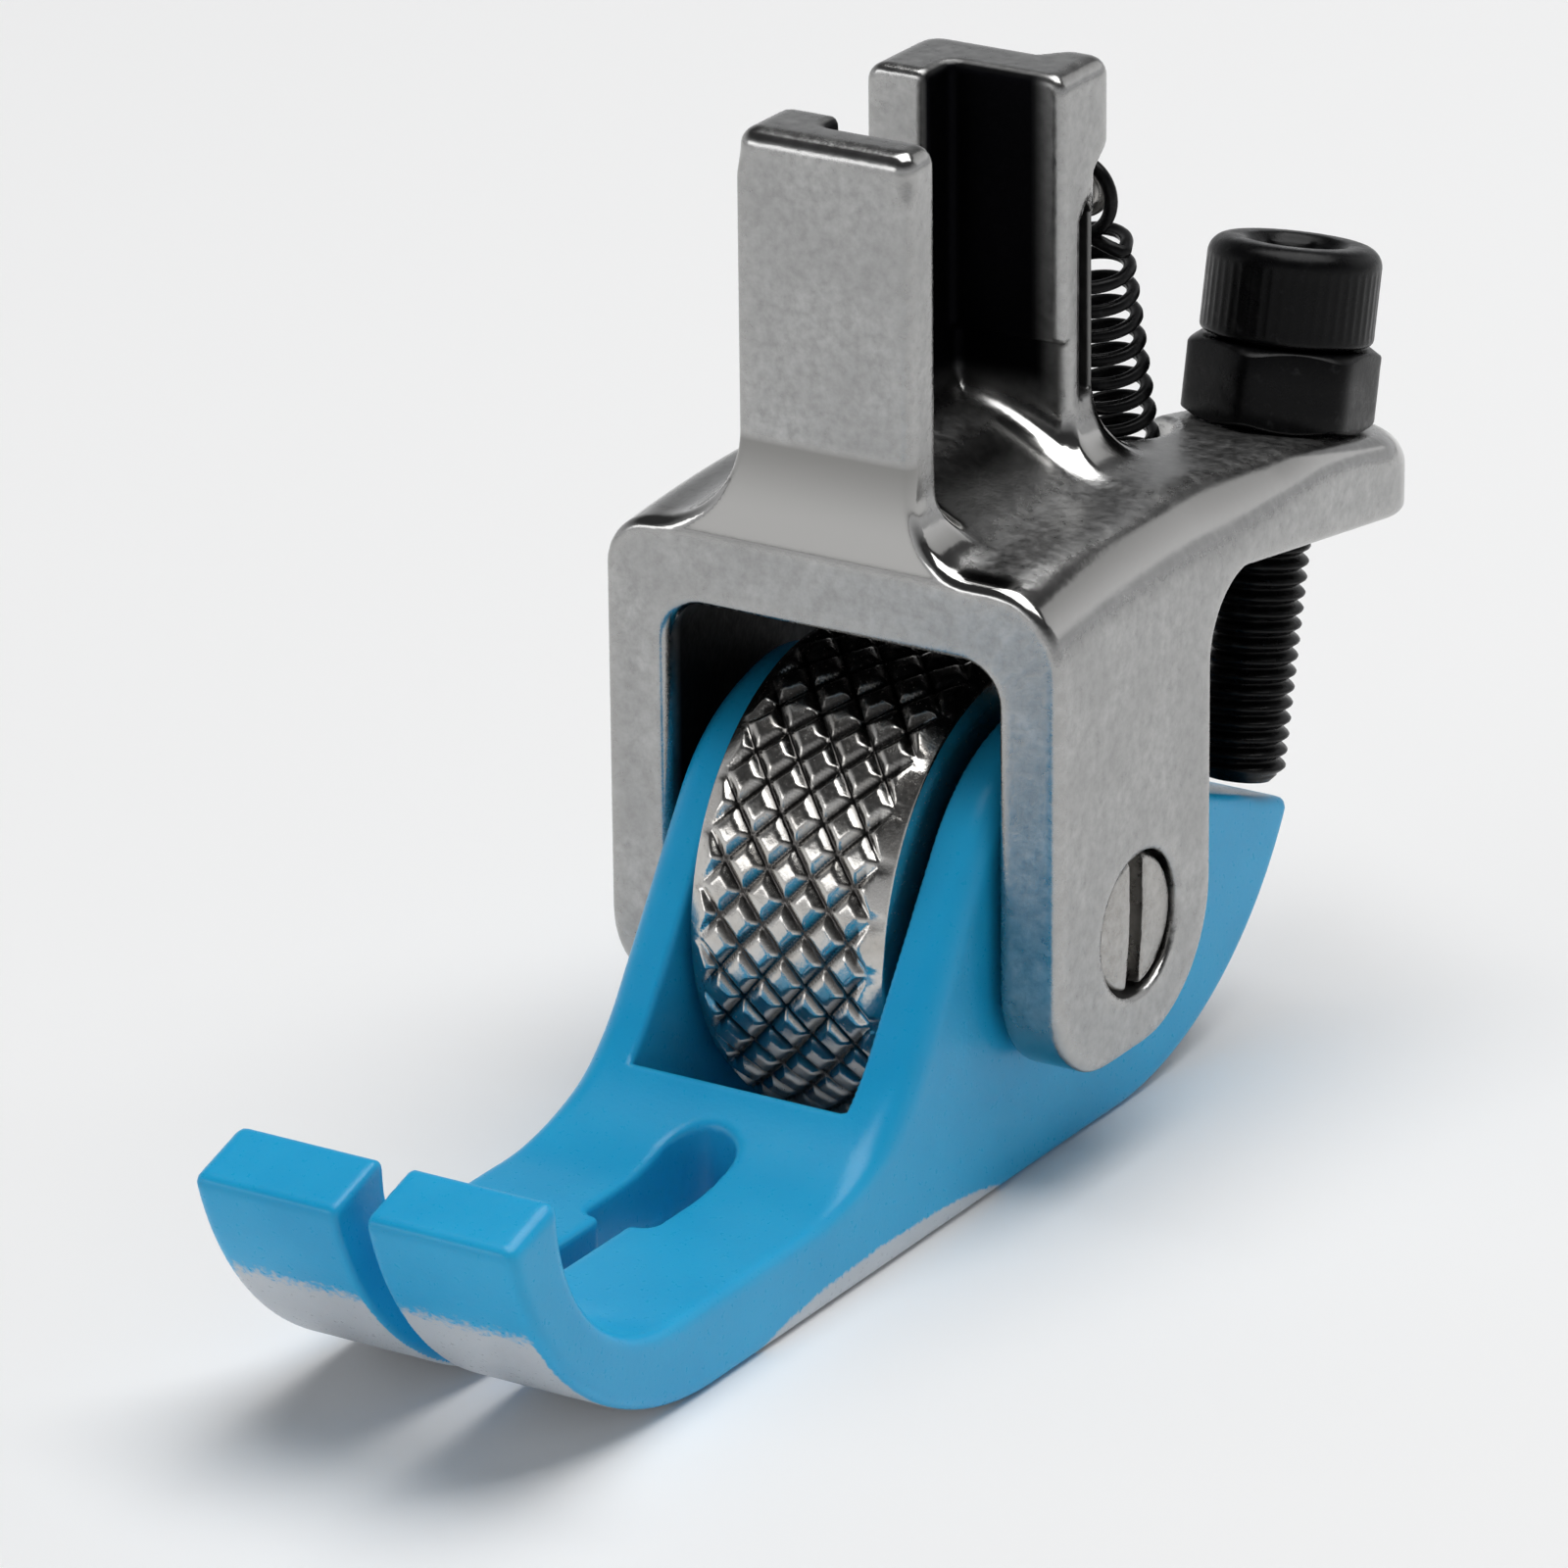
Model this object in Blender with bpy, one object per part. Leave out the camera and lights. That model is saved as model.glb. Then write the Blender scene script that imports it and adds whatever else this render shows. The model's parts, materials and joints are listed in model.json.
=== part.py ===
"""Roller presser foot with a sprung plastic sole, in metres, +Z up.

The needle side (toe) is -Y, the adjusting screw is at +Y, and the slotted pivot screw shows at +X.
The flat bottom of the sole is z = 0.
"""
import math

import bmesh
import bpy
from mathutils import Matrix, Vector

MM = 0.001

# --- Placement -----------------------------------------------------------------------------------
SHIFT_Y = 5.81 * MM             # moves the pivot axis so that the origin is the middle of the base
PIVOT_HEIGHT = 7.8 * MM         # pivot axis above the bottom of the sole
GAP = 0.3 * MM                  # clearance between neighbouring pieces
SEAT_GAP = 0.2 * MM             # clearance under the nut, under the screw head and at the screw tip

# --- Yoke: portal and legs -----------------------------------------------------------------------
YOKE_HALF_WIDTH = 7.95 * MM
LEG_INSIDE = 5.8 * MM
LEG_FRONT = -4.8 * MM
LEG_REAR = 4.4 * MM
LEG_BOTTOM = 3.7 * MM
LEG_TOE_RADIUS = 3.2 * MM
LEG_HEEL_RADIUS = 4.4 * MM
PORTAL_CEILING = 17.2 * MM
PORTAL_CORNER = 1.3 * MM
SLAB_REAR = 7.2 * MM
SHOULDER_CORNER = 2.1 * MM
SHOULDER_FRONT_RADIUS = 0.3 * MM
ARM_ROOT_RADIUS = 2.4 * MM
CREST_Y = 2.1 * MM              # the yoke's top is a long crown, highest here
CREST_Z = 20.06 * MM
CREST_RADIUS = 57.0 * MM
SHANK_FOOT = 18.2 * MM          # the shank's outline starts here, inside the slab
SHANK_SEAT = 19.5 * MM          # its fillets end here, just inside the slab's top

# --- Yoke: shank ---------------------------------------------------------------------------------
SHANK_FRONT = -4.74 * MM
SHANK_LEFT = -3.25 * MM
SHANK_RIGHT = 2.75 * MM
SHANK_REAR = 6.45 * MM
SHANK_TOP = 32.4 * MM
LIP_REAR = 7.25 * MM
LIP_BOTTOM = 29.4 * MM
LIP_FLARE = 1.4 * MM
CHANNEL_FRONT = -3.07 * MM
CHANNEL_WIDTH = 7.3 * MM
CHANNEL_BACK = -1.14 * MM       # inner face of the web
CHANNEL_BOTTOM = 21.3 * MM
RELIEF_TOP = 24.0 * MM
RELIEF_DEPTH = 0.35 * MM
SLOT_FRONT = -1.97 * MM
SLOT_WIDTH = 4.75 * MM
SLOT_BOTTOM = 23.4 * MM
LEFT_FILLET = 3.2 * MM
RIGHT_FILLET = 1.4 * MM
GROOVE_FRONT = 5.28 * MM
GROOVE_WIDTH = 0.94 * MM
GROOVE_DEPTH = 1.2 * MM
GROOVE_BOTTOM = 22.0 * MM
GROOVE_TOP = 28.2 * MM

# --- Yoke: rear arm and its screw axis -----------------------------------------------------------
ARM_SLOPE = math.radians(12.2)  # the arm's top falls towards the rear; the screw is square to it
SCREW_X = 4.4 * MM
SCREW_Y = 14.5 * MM             # where the screw axis meets the arm's top
SCREW_Z = 18.725 * MM
SCREW_HOLE_REACH = 6.0 * MM     # each way from the arm's top
ARM_LEFT = 0.85 * MM
ARM_NOSE_Y = 15.45 * MM         # centre of the arm's round end
ARM_THICKNESS = 2.8 * MM
ARM_OVERLAP = 1.5 * MM          # the arm starts this far inside the portal
ARM_FLAT_START = 10.0 * MM      # the crown ends here and the arm's flat top begins
ARM_STEP = 0.06 * MM            # the arm stands this much inside the yoke's flat faces

# --- Adjusting screw and nut (M3) ----------------------------------------------------------------
THREAD_RADIUS = 1.5 * MM
HEAD_RADIUS = 2.7 * MM
HEAD_HEIGHT = 3.0 * MM
HEAD_ROUND = 0.35 * MM
SOCKET_FLATS = 2.5 * MM
SOCKET_DEPTH = 1.6 * MM
TIP_RADIUS = 1.05 * MM
TIP_TAPER = 0.5 * MM
TIP_DEPTH = 11.25 * MM          # below the arm's top, along the screw axis
NUT_FLATS = 5.5 * MM
NUT_HEIGHT = 2.4 * MM
NUT_CHAMFER = 0.35 * MM
NUT_RIM_STEP = 0.05 * MM        # the chamfer's flat ring stays this far inside the flats
NUT_TURN = math.radians(36.6)

# --- Sole ----------------------------------------------------------------------------------------
SOLE_HALF_WIDTH = 5.45 * MM
SOLE_THICKNESS = 2.8 * MM
TOE_CENTRE_Y = -20.05 * MM
TOE_OUTER_RADIUS = 10.9 * MM
TOE_INNER_CENTRE_Y = -22.07 * MM
TOE_INNER_RADIUS = 6.0 * MM
TOE_TIP_Z = 8.15 * MM
TOE_BACK_Z = 8.95 * MM
RAMP_START = -15.0 * MM
RAMP_RADIUS = 7.4 * MM
RAMP_ANGLE = math.radians(55.5)
HEEL_START = 3.1 * MM
HEEL_RADIUS = 12.0 * MM
HEEL_END_Y = 13.8 * MM
HEEL_END_Z = 6.65 * MM
HEEL_SLOPE = math.radians(19.8)
WINDOW_HALF_WIDTH = 3.77 * MM
WINDOW_FRONT = -10.2 * MM
WINDOW_REAR = 8.4 * MM
NEEDLE_HALF_WIDTH = 1.2 * MM
NEEDLE_REAR = -11.5 * MM
NEEDLE_FRONT = -16.9 * MM
NEEDLE_TAPER = 0.5 * MM
TOE_GAP_HALF_WIDTH = 0.55 * MM

# --- Roller, bush and pivot screw ----------------------------------------------------------------
ROLLER_RADIUS = 7.8 * MM
ROLLER_HALF_WIDTH = 3.4 * MM
ROLLER_CHAMFER_WIDTH = 0.6 * MM
ROLLER_CHAMFER_DEPTH = 0.32 * MM
SHAFT_RADIUS = 1.7 * MM
BUSH_WALL = 0.9 * MM
BUSH_HALF_LENGTH = 3.45 * MM
PIVOT_HEAD_RADIUS = 2.05 * MM
PIVOT_HEAD_THICKNESS = 1.2 * MM
PIVOT_HEAD_RECESS = 0.1 * MM
PIVOT_SLOT_WIDTH = 0.8 * MM
PIVOT_SLOT_DEPTH = 0.7 * MM
PIVOT_THREAD_RADIUS = 1.35 * MM
PIVOT_EDGE = 0.12 * MM

# --- Spring and its holders ----------------------------------------------------------------------
WIRE_RADIUS = 0.21 * MM
COIL_RADIUS = 1.39 * MM         # to the middle of the wire
SPRING_X = 0.95 * MM
SPRING_TOP_Y = 8.2 * MM
SPRING_TOP_Z = 26.5 * MM
SPRING_LEAN = math.radians(14.0)
SPRING_BEND_Z = 17.0 * MM       # where the arm's hole bends the spring back
SPRING_FOOT_Y = 11.63 * MM
SPRING_PITCH = 0.86 * MM
UPPER_LOOP_RADIUS = 1.2 * MM
UPPER_LOOP_Z = 27.35 * MM
LOWER_LOOP_Z = 6.1 * MM
NOTCH_RADIUS = 2.05 * MM        # clears the coils where they pass through the arm
NOTCH_BOTTOM = 15.2 * MM
NOTCH_HEIGHT = 8.0 * MM
POST_RADIUS = 0.6 * MM
POST_HEAD_RADIUS = 0.85 * MM
POST_HEAD_THICKNESS = 0.4 * MM
POST_END_Y = 8.85 * MM
POST_DEPTH = 1.3 * MM
POST_EDGE = 0.15 * MM
LOOP_OFFSET = 0.15 * MM         # the upper loop stands this far behind the coils' axis
PIN_RADIUS = 0.5 * MM
PIN_HALF_LENGTH = 2.6 * MM
FORK_HALF_WIDTH = 0.65 * MM
FORK_FRONT = 9.5 * MM
FORK_BOTTOM = 4.25 * MM

SCREW_DIRECTION = Vector((0.0, math.sin(ARM_SLOPE), math.cos(ARM_SLOPE)))
SPRING_DOWN = Vector((0.0, math.sin(SPRING_LEAN), -math.cos(SPRING_LEAN)))
OVERSHOOT = 5.0 * MM            # how far a cutter runs past the piece that it cuts


# --- Small tools ---------------------------------------------------------------------------------
def clear_scene():
    for old in list(bpy.data.objects):
        bpy.data.objects.remove(old, do_unlink=True)


def metal(name, colour, roughness, metallic):
    """A Principled material with a plain colour."""
    material = bpy.data.materials.new(name)
    material.use_nodes = True
    shader = material.node_tree.nodes["Principled BSDF"]
    shader.inputs["Base Color"].default_value = (*colour, 1.0)
    shader.inputs["Roughness"].default_value = roughness
    shader.inputs["Metallic"].default_value = metallic
    return material


def add_object(name, mesh):
    new = bpy.data.objects.new(name, mesh)
    bpy.context.scene.collection.objects.link(new)
    return new


def mesh_object(name, verts, faces):
    mesh = bpy.data.meshes.new(name)
    shape = bmesh.new()
    corners = [shape.verts.new(v) for v in verts]
    for face in faces:
        shape.faces.new([corners[i] for i in face])
    bmesh.ops.recalc_face_normals(shape, faces=shape.faces)
    shape.to_mesh(mesh)
    shape.free()
    return add_object(name, mesh)


def prism(name, outline, axis, low, high):
    """Extrude a 2D outline along an axis; the outline holds the two other coordinates in order."""
    count = len(outline)
    verts = []
    for level in (low, high):
        for first, second in outline:
            point = [first, second]
            point.insert("xyz".index(axis), level)
            verts.append(point)
    faces = [list(range(count)), list(range(2 * count - 1, count - 1, -1))]
    for i in range(count):
        j = (i + 1) % count
        faces.append([i, j, count + j, count + i])
    return mesh_object(name, verts, faces)


def box(name, low, high):
    outline = [(low[1], low[2]), (high[1], low[2]), (high[1], high[2]), (low[1], high[2])]
    return prism(name, outline, "x", low[0], high[0])


def lathe(name, profile, segments):
    """Turn a closed profile of (radius, height) round +Z; a radius of zero makes a pole."""
    verts = []
    rings = []
    for radius, height in profile:
        if radius == 0.0:
            rings.append([len(verts)] * segments)
            verts.append((0.0, 0.0, height))
            continue
        rings.append(list(range(len(verts), len(verts) + segments)))
        for k in range(segments):
            angle = math.tau * k / segments
            verts.append((radius * math.cos(angle), radius * math.sin(angle), height))
    faces = []
    closed = profile[0][0] > 0.0
    pairs = len(profile) if closed else len(profile) - 1
    for i in range(pairs):
        lower, upper = rings[i], rings[(i + 1) % len(profile)]
        for k in range(segments):
            m = (k + 1) % segments
            face = []
            for index in (lower[k], lower[m], upper[m], upper[k]):
                if index not in face:
                    face.append(index)
            faces.append(face)
    return mesh_object(name, verts, faces)


def arc(centre, radius, start, end, steps):
    """Points on an arc in a plane, angles in degrees, both ends included."""
    points = []
    for i in range(steps + 1):
        angle = math.radians(start + (end - start) * i / steps)
        points.append((centre[0] + radius * math.cos(angle), centre[1] + radius * math.sin(angle)))
    return points


def place(piece, location, direction):
    """Point the piece's own +Z along a direction and move its origin to a location."""
    turn = Vector((0.0, 0.0, 1.0)).rotation_difference(direction)
    piece.matrix_world = Matrix.Translation(location) @ turn.to_matrix().to_4x4()
    return piece


def set_origin(piece, location):
    """Move the origin of an unturned piece without moving its shape."""
    piece.data.transform(Matrix.Translation(-location))
    piece.location = location


def combine(piece, other, operation):
    """Add a Boolean whose helper is hidden and left out of the model."""
    other.hide_render = True
    other.display_type = "WIRE"
    modifier = piece.modifiers.new(other.name, "BOOLEAN")
    modifier.operation = operation
    modifier.solver = "EXACT"
    modifier.object = other


def finish(piece, material, smooth_angle):
    """Give a piece its material and smooth its rounds."""
    piece.data.materials.append(material)
    piece.data.shade_smooth()
    piece.data.set_sharp_from_angle(angle=math.radians(smooth_angle))


def arm_top(y):
    """Height of the arm's flat sloping top, under the nut."""
    return SCREW_Z + (SCREW_Y - y) * math.tan(ARM_SLOPE)


def crown(start, end, steps):
    """Points (y, z) along the yoke's crowned top."""
    points = []
    for i in range(steps + 1):
        y = start + (end - start) * i / steps
        points.append((y, CREST_Z - (y - CREST_Y) ** 2 / (2 * CREST_RADIUS)))
    return points


def spring_axis(z):
    """Point on the spring's axis at a height; the axis bends where it passes the arm."""
    bend_y = SPRING_TOP_Y + (SPRING_TOP_Z - SPRING_BEND_Z) * math.tan(SPRING_LEAN)
    if z > SPRING_BEND_Z:
        return Vector((SPRING_X, SPRING_TOP_Y + (SPRING_TOP_Z - z) * math.tan(SPRING_LEAN), z))
    share = (SPRING_BEND_Z - z) / (SPRING_BEND_Z - LOWER_LOOP_Z)
    return Vector((SPRING_X, bend_y + (SPRING_FOOT_Y - bend_y) * share, z))


# --- Yoke ----------------------------------------------------------------------------------------
def yoke_side_outline():
    """Leg, slab and front round, seen along X."""
    top = crown(SLAB_REAR, LEG_FRONT + SHOULDER_FRONT_RADIUS, 8)
    front_centre = (top[-1][0], top[-1][1] - SHOULDER_FRONT_RADIUS)
    root_centre = (LEG_REAR + ARM_ROOT_RADIUS, PORTAL_CEILING - ARM_ROOT_RADIUS)
    outline = arc((LEG_FRONT + LEG_TOE_RADIUS, LEG_BOTTOM + LEG_TOE_RADIUS), LEG_TOE_RADIUS, 180, 270, 6)
    outline += arc((0.0, LEG_BOTTOM + LEG_HEEL_RADIUS), LEG_HEEL_RADIUS, 270, 360, 9)
    outline += arc(root_centre, ARM_ROOT_RADIUS, 180, 90, 5)
    outline.append((SLAB_REAR, PORTAL_CEILING))
    outline += top[:-1]
    outline += arc(front_centre, SHOULDER_FRONT_RADIUS, 90, 180, 3)
    return outline


def yoke_front_outline():
    """Outer outline of the portal with rounded shoulders, seen along Y."""
    corner_z = CREST_Z + ARM_STEP - SHOULDER_CORNER
    right = arc((YOKE_HALF_WIDTH - SHOULDER_CORNER, corner_z), SHOULDER_CORNER, 0, 90, 5)
    left = arc((SHOULDER_CORNER - YOKE_HALF_WIDTH, corner_z), SHOULDER_CORNER, 90, 180, 5)
    base = LEG_BOTTOM - OVERSHOOT
    return [(-YOKE_HALF_WIDTH, base), (YOKE_HALF_WIDTH, base)] + right + left


def shank_front_outline():
    """Shank with its concave fillets onto the shoulders, seen along Y."""
    right = arc((SHANK_RIGHT + RIGHT_FILLET, SHANK_SEAT + RIGHT_FILLET), RIGHT_FILLET, 270, 180, 4)
    left = arc((SHANK_LEFT - LEFT_FILLET, SHANK_SEAT + LEFT_FILLET), LEFT_FILLET, 0, -90, 5)
    return ([(SHANK_LEFT - LEFT_FILLET, SHANK_FOOT), (SHANK_RIGHT + RIGHT_FILLET, SHANK_FOOT)] + right
            + [(SHANK_RIGHT, SHANK_TOP), (SHANK_LEFT, SHANK_TOP)] + left)


def arm_plan_outline():
    """Rear arm with its round nose, seen along Z."""
    right = YOKE_HALF_WIDTH - ARM_STEP
    nose_radius = (right - ARM_LEFT) / 2
    nose = arc(((right + ARM_LEFT) / 2, ARM_NOSE_Y), nose_radius, 0, 180, 12)
    start = LEG_REAR - ARM_OVERLAP
    return [(ARM_LEFT, start), (right, start)] + nose


def arm_side_outline():
    """Sloping slab that limits the arm above and below, seen along X."""
    rear = ARM_NOSE_Y + OVERSHOOT
    top = crown(LEG_REAR - ARM_OVERLAP, ARM_FLAT_START, 5)
    top += [(SCREW_Y, SCREW_Z), (rear, arm_top(rear))]
    depth = ARM_THICKNESS / math.cos(ARM_SLOPE)
    upper = [(y, z - ARM_STEP) for y, z in reversed(top)]
    return [(y, z - depth) for y, z in top] + upper


def make_arm():
    arm = prism("yoke_arm", arm_plan_outline(), "z", 0.0, SHANK_TOP)
    combine(arm, prism("yoke_arm_slab", arm_side_outline(), "x", -SHANK_TOP, SHANK_TOP), "INTERSECT")
    combine(arm, prism("yoke_arm_round", yoke_front_outline(), "y", -SHANK_TOP, SHANK_TOP), "INTERSECT")
    return arm


def make_shank():
    """C-shaped shank: channel towards +X, screw slot through the web, lip at the rear of the top."""
    shank = prism("yoke_shank", shank_front_outline(), "y", SHANK_FRONT, SHANK_REAR)
    lip = [(SHANK_REAR - MM, LIP_BOTTOM - LIP_FLARE), (SHANK_REAR, LIP_BOTTOM - LIP_FLARE),
           (LIP_REAR, LIP_BOTTOM), (LIP_REAR, SHANK_TOP), (SHANK_REAR - MM, SHANK_TOP)]
    combine(shank, prism("shank_lip", lip, "x", SHANK_LEFT, SHANK_RIGHT), "UNION")
    channel_rear = CHANNEL_FRONT + CHANNEL_WIDTH
    channel = [(CHANNEL_FRONT, CHANNEL_BOTTOM), (channel_rear + RELIEF_DEPTH, CHANNEL_BOTTOM),
               (channel_rear + RELIEF_DEPTH, RELIEF_TOP), (channel_rear, RELIEF_TOP),
               (channel_rear, SHANK_TOP + OVERSHOOT), (CHANNEL_FRONT, SHANK_TOP + OVERSHOOT)]
    combine(shank, prism("shank_channel", channel, "x", CHANNEL_BACK, SHANK_RIGHT + OVERSHOOT),
            "DIFFERENCE")
    radius = SLOT_WIDTH / 2
    slot = arc((SLOT_FRONT + radius, SLOT_BOTTOM + radius), radius, 180, 360, 8)
    slot += [(SLOT_FRONT + SLOT_WIDTH, SHANK_TOP + OVERSHOOT), (SLOT_FRONT, SHANK_TOP + OVERSHOOT)]
    combine(shank, prism("shank_slot", slot, "x", SHANK_LEFT - OVERSHOOT, 0.0), "DIFFERENCE")
    radius = GROOVE_WIDTH / 2
    groove = arc((GROOVE_FRONT + radius, GROOVE_TOP - radius), radius, 0, 180, 6)
    groove += [(GROOVE_FRONT, GROOVE_BOTTOM), (GROOVE_FRONT + GROOVE_WIDTH, GROOVE_BOTTOM)]
    combine(shank, prism("shank_groove", groove, "x", SHANK_RIGHT - GROOVE_DEPTH,
                         SHANK_RIGHT + OVERSHOOT), "DIFFERENCE")
    return shank


def make_yoke(material):
    yoke = prism("yoke", yoke_side_outline(), "x", -YOKE_HALF_WIDTH, YOKE_HALF_WIDTH)
    front = prism("yoke_front", yoke_front_outline(), "y", -SHANK_TOP, SHANK_TOP)
    combine(yoke, front, "INTERSECT")
    ceiling = PORTAL_CEILING - PORTAL_CORNER
    opening = [(-LEG_INSIDE, -OVERSHOOT), (LEG_INSIDE, -OVERSHOOT)]
    opening += arc((LEG_INSIDE - PORTAL_CORNER, ceiling), PORTAL_CORNER, 0, 90, 4)
    opening += arc((PORTAL_CORNER - LEG_INSIDE, ceiling), PORTAL_CORNER, 90, 180, 4)
    combine(yoke, prism("yoke_opening", opening, "y", -SHANK_TOP, LEG_REAR + OVERSHOOT), "DIFFERENCE")
    combine(yoke, make_arm(), "UNION")
    combine(yoke, make_shank(), "UNION")
    notch = lathe("yoke_notch", [(0.0, 0.0), (NOTCH_RADIUS, 0.0), (NOTCH_RADIUS, NOTCH_HEIGHT),
                                 (0.0, NOTCH_HEIGHT)], 20)
    combine(yoke, place(notch, spring_axis(NOTCH_BOTTOM), -SPRING_DOWN), "DIFFERENCE")
    hole_radius = THREAD_RADIUS + GAP
    hole = lathe("yoke_screw_hole", [(0.0, -SCREW_HOLE_REACH), (hole_radius, -SCREW_HOLE_REACH),
                                     (hole_radius, SCREW_HOLE_REACH), (0.0, SCREW_HOLE_REACH)], 20)
    combine(yoke, place(hole, Vector((SCREW_X, SCREW_Y, SCREW_Z)), SCREW_DIRECTION), "DIFFERENCE")
    combine(yoke, make_pivot_bore(), "DIFFERENCE")
    post_radius = POST_RADIUS + GAP
    post_hole = lathe("yoke_post_hole", [(0.0, 0.0), (post_radius, 0.0),
                                         (post_radius, POST_DEPTH + GAP + MM),
                                         (0.0, POST_DEPTH + GAP + MM)], 12)
    post_start = Vector((SPRING_X, SHANK_REAR - POST_DEPTH - GAP, post_height()))
    combine(yoke, place(post_hole, post_start, Vector((0.0, 1.0, 0.0))), "DIFFERENCE")
    finish(yoke, material, 32)
    set_origin(yoke, Vector((0.0, 0.0, 0.0)))
    return yoke


def make_pivot_bore():
    """Clear bore with a counterbore for the head in the right leg, smaller bore in the left leg."""
    head_seat = YOKE_HALF_WIDTH - PIVOT_HEAD_RECESS - PIVOT_HEAD_THICKNESS - GAP
    profile = [(0.0, -YOKE_HALF_WIDTH - MM), (PIVOT_THREAD_RADIUS + GAP, -YOKE_HALF_WIDTH - MM),
               (PIVOT_THREAD_RADIUS + GAP, 0.0), (SHAFT_RADIUS + GAP, 0.0),
               (SHAFT_RADIUS + GAP, head_seat), (PIVOT_HEAD_RADIUS + GAP, head_seat),
               (PIVOT_HEAD_RADIUS + GAP, YOKE_HALF_WIDTH + MM), (0.0, YOKE_HALF_WIDTH + MM)]
    bore = lathe("yoke_pivot_bore", profile, 32)
    return place(bore, Vector((0.0, 0.0, PIVOT_HEIGHT)), Vector((1.0, 0.0, 0.0)))


# --- Sole ----------------------------------------------------------------------------------------
def cheek_radius():
    """Radius of the cheeks about the pivot, so that their front ramp is tangent to it."""
    start_y = RAMP_START + RAMP_RADIUS * math.sin(RAMP_ANGLE)
    start_z = SOLE_THICKNESS + RAMP_RADIUS * (1.0 - math.cos(RAMP_ANGLE))
    across = -start_y * math.sin(RAMP_ANGLE) + (start_z - PIVOT_HEIGHT) * math.cos(RAMP_ANGLE)
    return across


def sole_outline():
    """Side outline of the sole: upturned toe, flat bottom, heel, cheeks and ramp."""
    tip_angle = math.degrees(math.asin((TOE_OUTER_RADIUS - TOE_TIP_Z) / TOE_OUTER_RADIUS))
    outline = arc((TOE_CENTRE_Y, TOE_OUTER_RADIUS), TOE_OUTER_RADIUS, 180 + tip_angle, 270, 9)
    heel_angle = math.degrees(math.asin((HEEL_RADIUS - HEEL_END_Z) / HEEL_RADIUS))
    outline += arc((HEEL_START, HEEL_RADIUS), HEEL_RADIUS, 270, 360 - heel_angle, 8)
    outline += arc((0.0, PIVOT_HEIGHT), cheek_radius(), cheek_rear_angle(),
                   90 + math.degrees(RAMP_ANGLE) - 0.5, 14)
    ramp = arc((RAMP_START, SOLE_THICKNESS + RAMP_RADIUS), RAMP_RADIUS,
               270 + math.degrees(RAMP_ANGLE), 270, 6)
    outline += ramp
    inner_z = SOLE_THICKNESS + TOE_INNER_RADIUS
    back_angle = math.degrees(math.asin((inner_z - TOE_BACK_Z) / TOE_INNER_RADIUS))
    outline += arc((TOE_INNER_CENTRE_Y, inner_z), TOE_INNER_RADIUS, 270, 180 + back_angle, 7)
    return outline


def cheek_rear_angle():
    """Angle about the pivot, in degrees, where the heel's sloping top meets the cheeks' round."""
    above = (HEEL_END_Z - PIVOT_HEIGHT) * math.cos(HEEL_SLOPE) + HEEL_END_Y * math.sin(HEEL_SLOPE)
    return 90 - math.degrees(HEEL_SLOPE) - math.degrees(math.acos(above / cheek_radius()))


def make_sole(material):
    sole = prism("sole", sole_outline(), "x", -SOLE_HALF_WIDTH, SOLE_HALF_WIDTH)
    window = box("sole_window", (-WINDOW_HALF_WIDTH, WINDOW_FRONT, -OVERSHOOT),
                 (WINDOW_HALF_WIDTH, WINDOW_REAR, SHANK_TOP))
    combine(sole, window, "DIFFERENCE")
    half = NEEDLE_HALF_WIDTH
    needle = arc((0.0, NEEDLE_REAR - half), half, 0, 180, 8)
    needle += [(-half, NEEDLE_FRONT + NEEDLE_TAPER), (-TOE_GAP_HALF_WIDTH, NEEDLE_FRONT),
               (-TOE_GAP_HALF_WIDTH, -SHANK_TOP), (TOE_GAP_HALF_WIDTH, -SHANK_TOP),
               (TOE_GAP_HALF_WIDTH, NEEDLE_FRONT), (half, NEEDLE_FRONT + NEEDLE_TAPER)]
    combine(sole, prism("sole_needle_slot", needle, "z", -OVERSHOOT, SHANK_TOP), "DIFFERENCE")
    pivot_radius = SHAFT_RADIUS + GAP
    bore = lathe("sole_pivot_bore", [(0.0, -SHANK_TOP), (pivot_radius, -SHANK_TOP),
                                     (pivot_radius, SHANK_TOP), (0.0, SHANK_TOP)], 24)
    combine(sole, place(bore, Vector((0.0, 0.0, PIVOT_HEIGHT)), Vector((1.0, 0.0, 0.0))), "DIFFERENCE")
    fork = box("sole_fork", (SPRING_X - FORK_HALF_WIDTH, FORK_FRONT, FORK_BOTTOM),
               (SPRING_X + FORK_HALF_WIDTH, SHANK_TOP, SHANK_TOP))
    combine(sole, fork, "DIFFERENCE")
    pin_hole_radius = PIN_RADIUS + SEAT_GAP
    reach = PIN_HALF_LENGTH + GAP
    pin_hole = lathe("sole_pin_hole", [(0.0, -reach), (pin_hole_radius, -reach),
                                       (pin_hole_radius, SHANK_TOP), (0.0, SHANK_TOP)], 14)
    combine(sole, place(pin_hole, pin_centre(), Vector((1.0, 0.0, 0.0))), "DIFFERENCE")
    finish(sole, material, 32)
    set_origin(sole, Vector((0.0, 0.0, PIVOT_HEIGHT)))
    return sole


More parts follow.
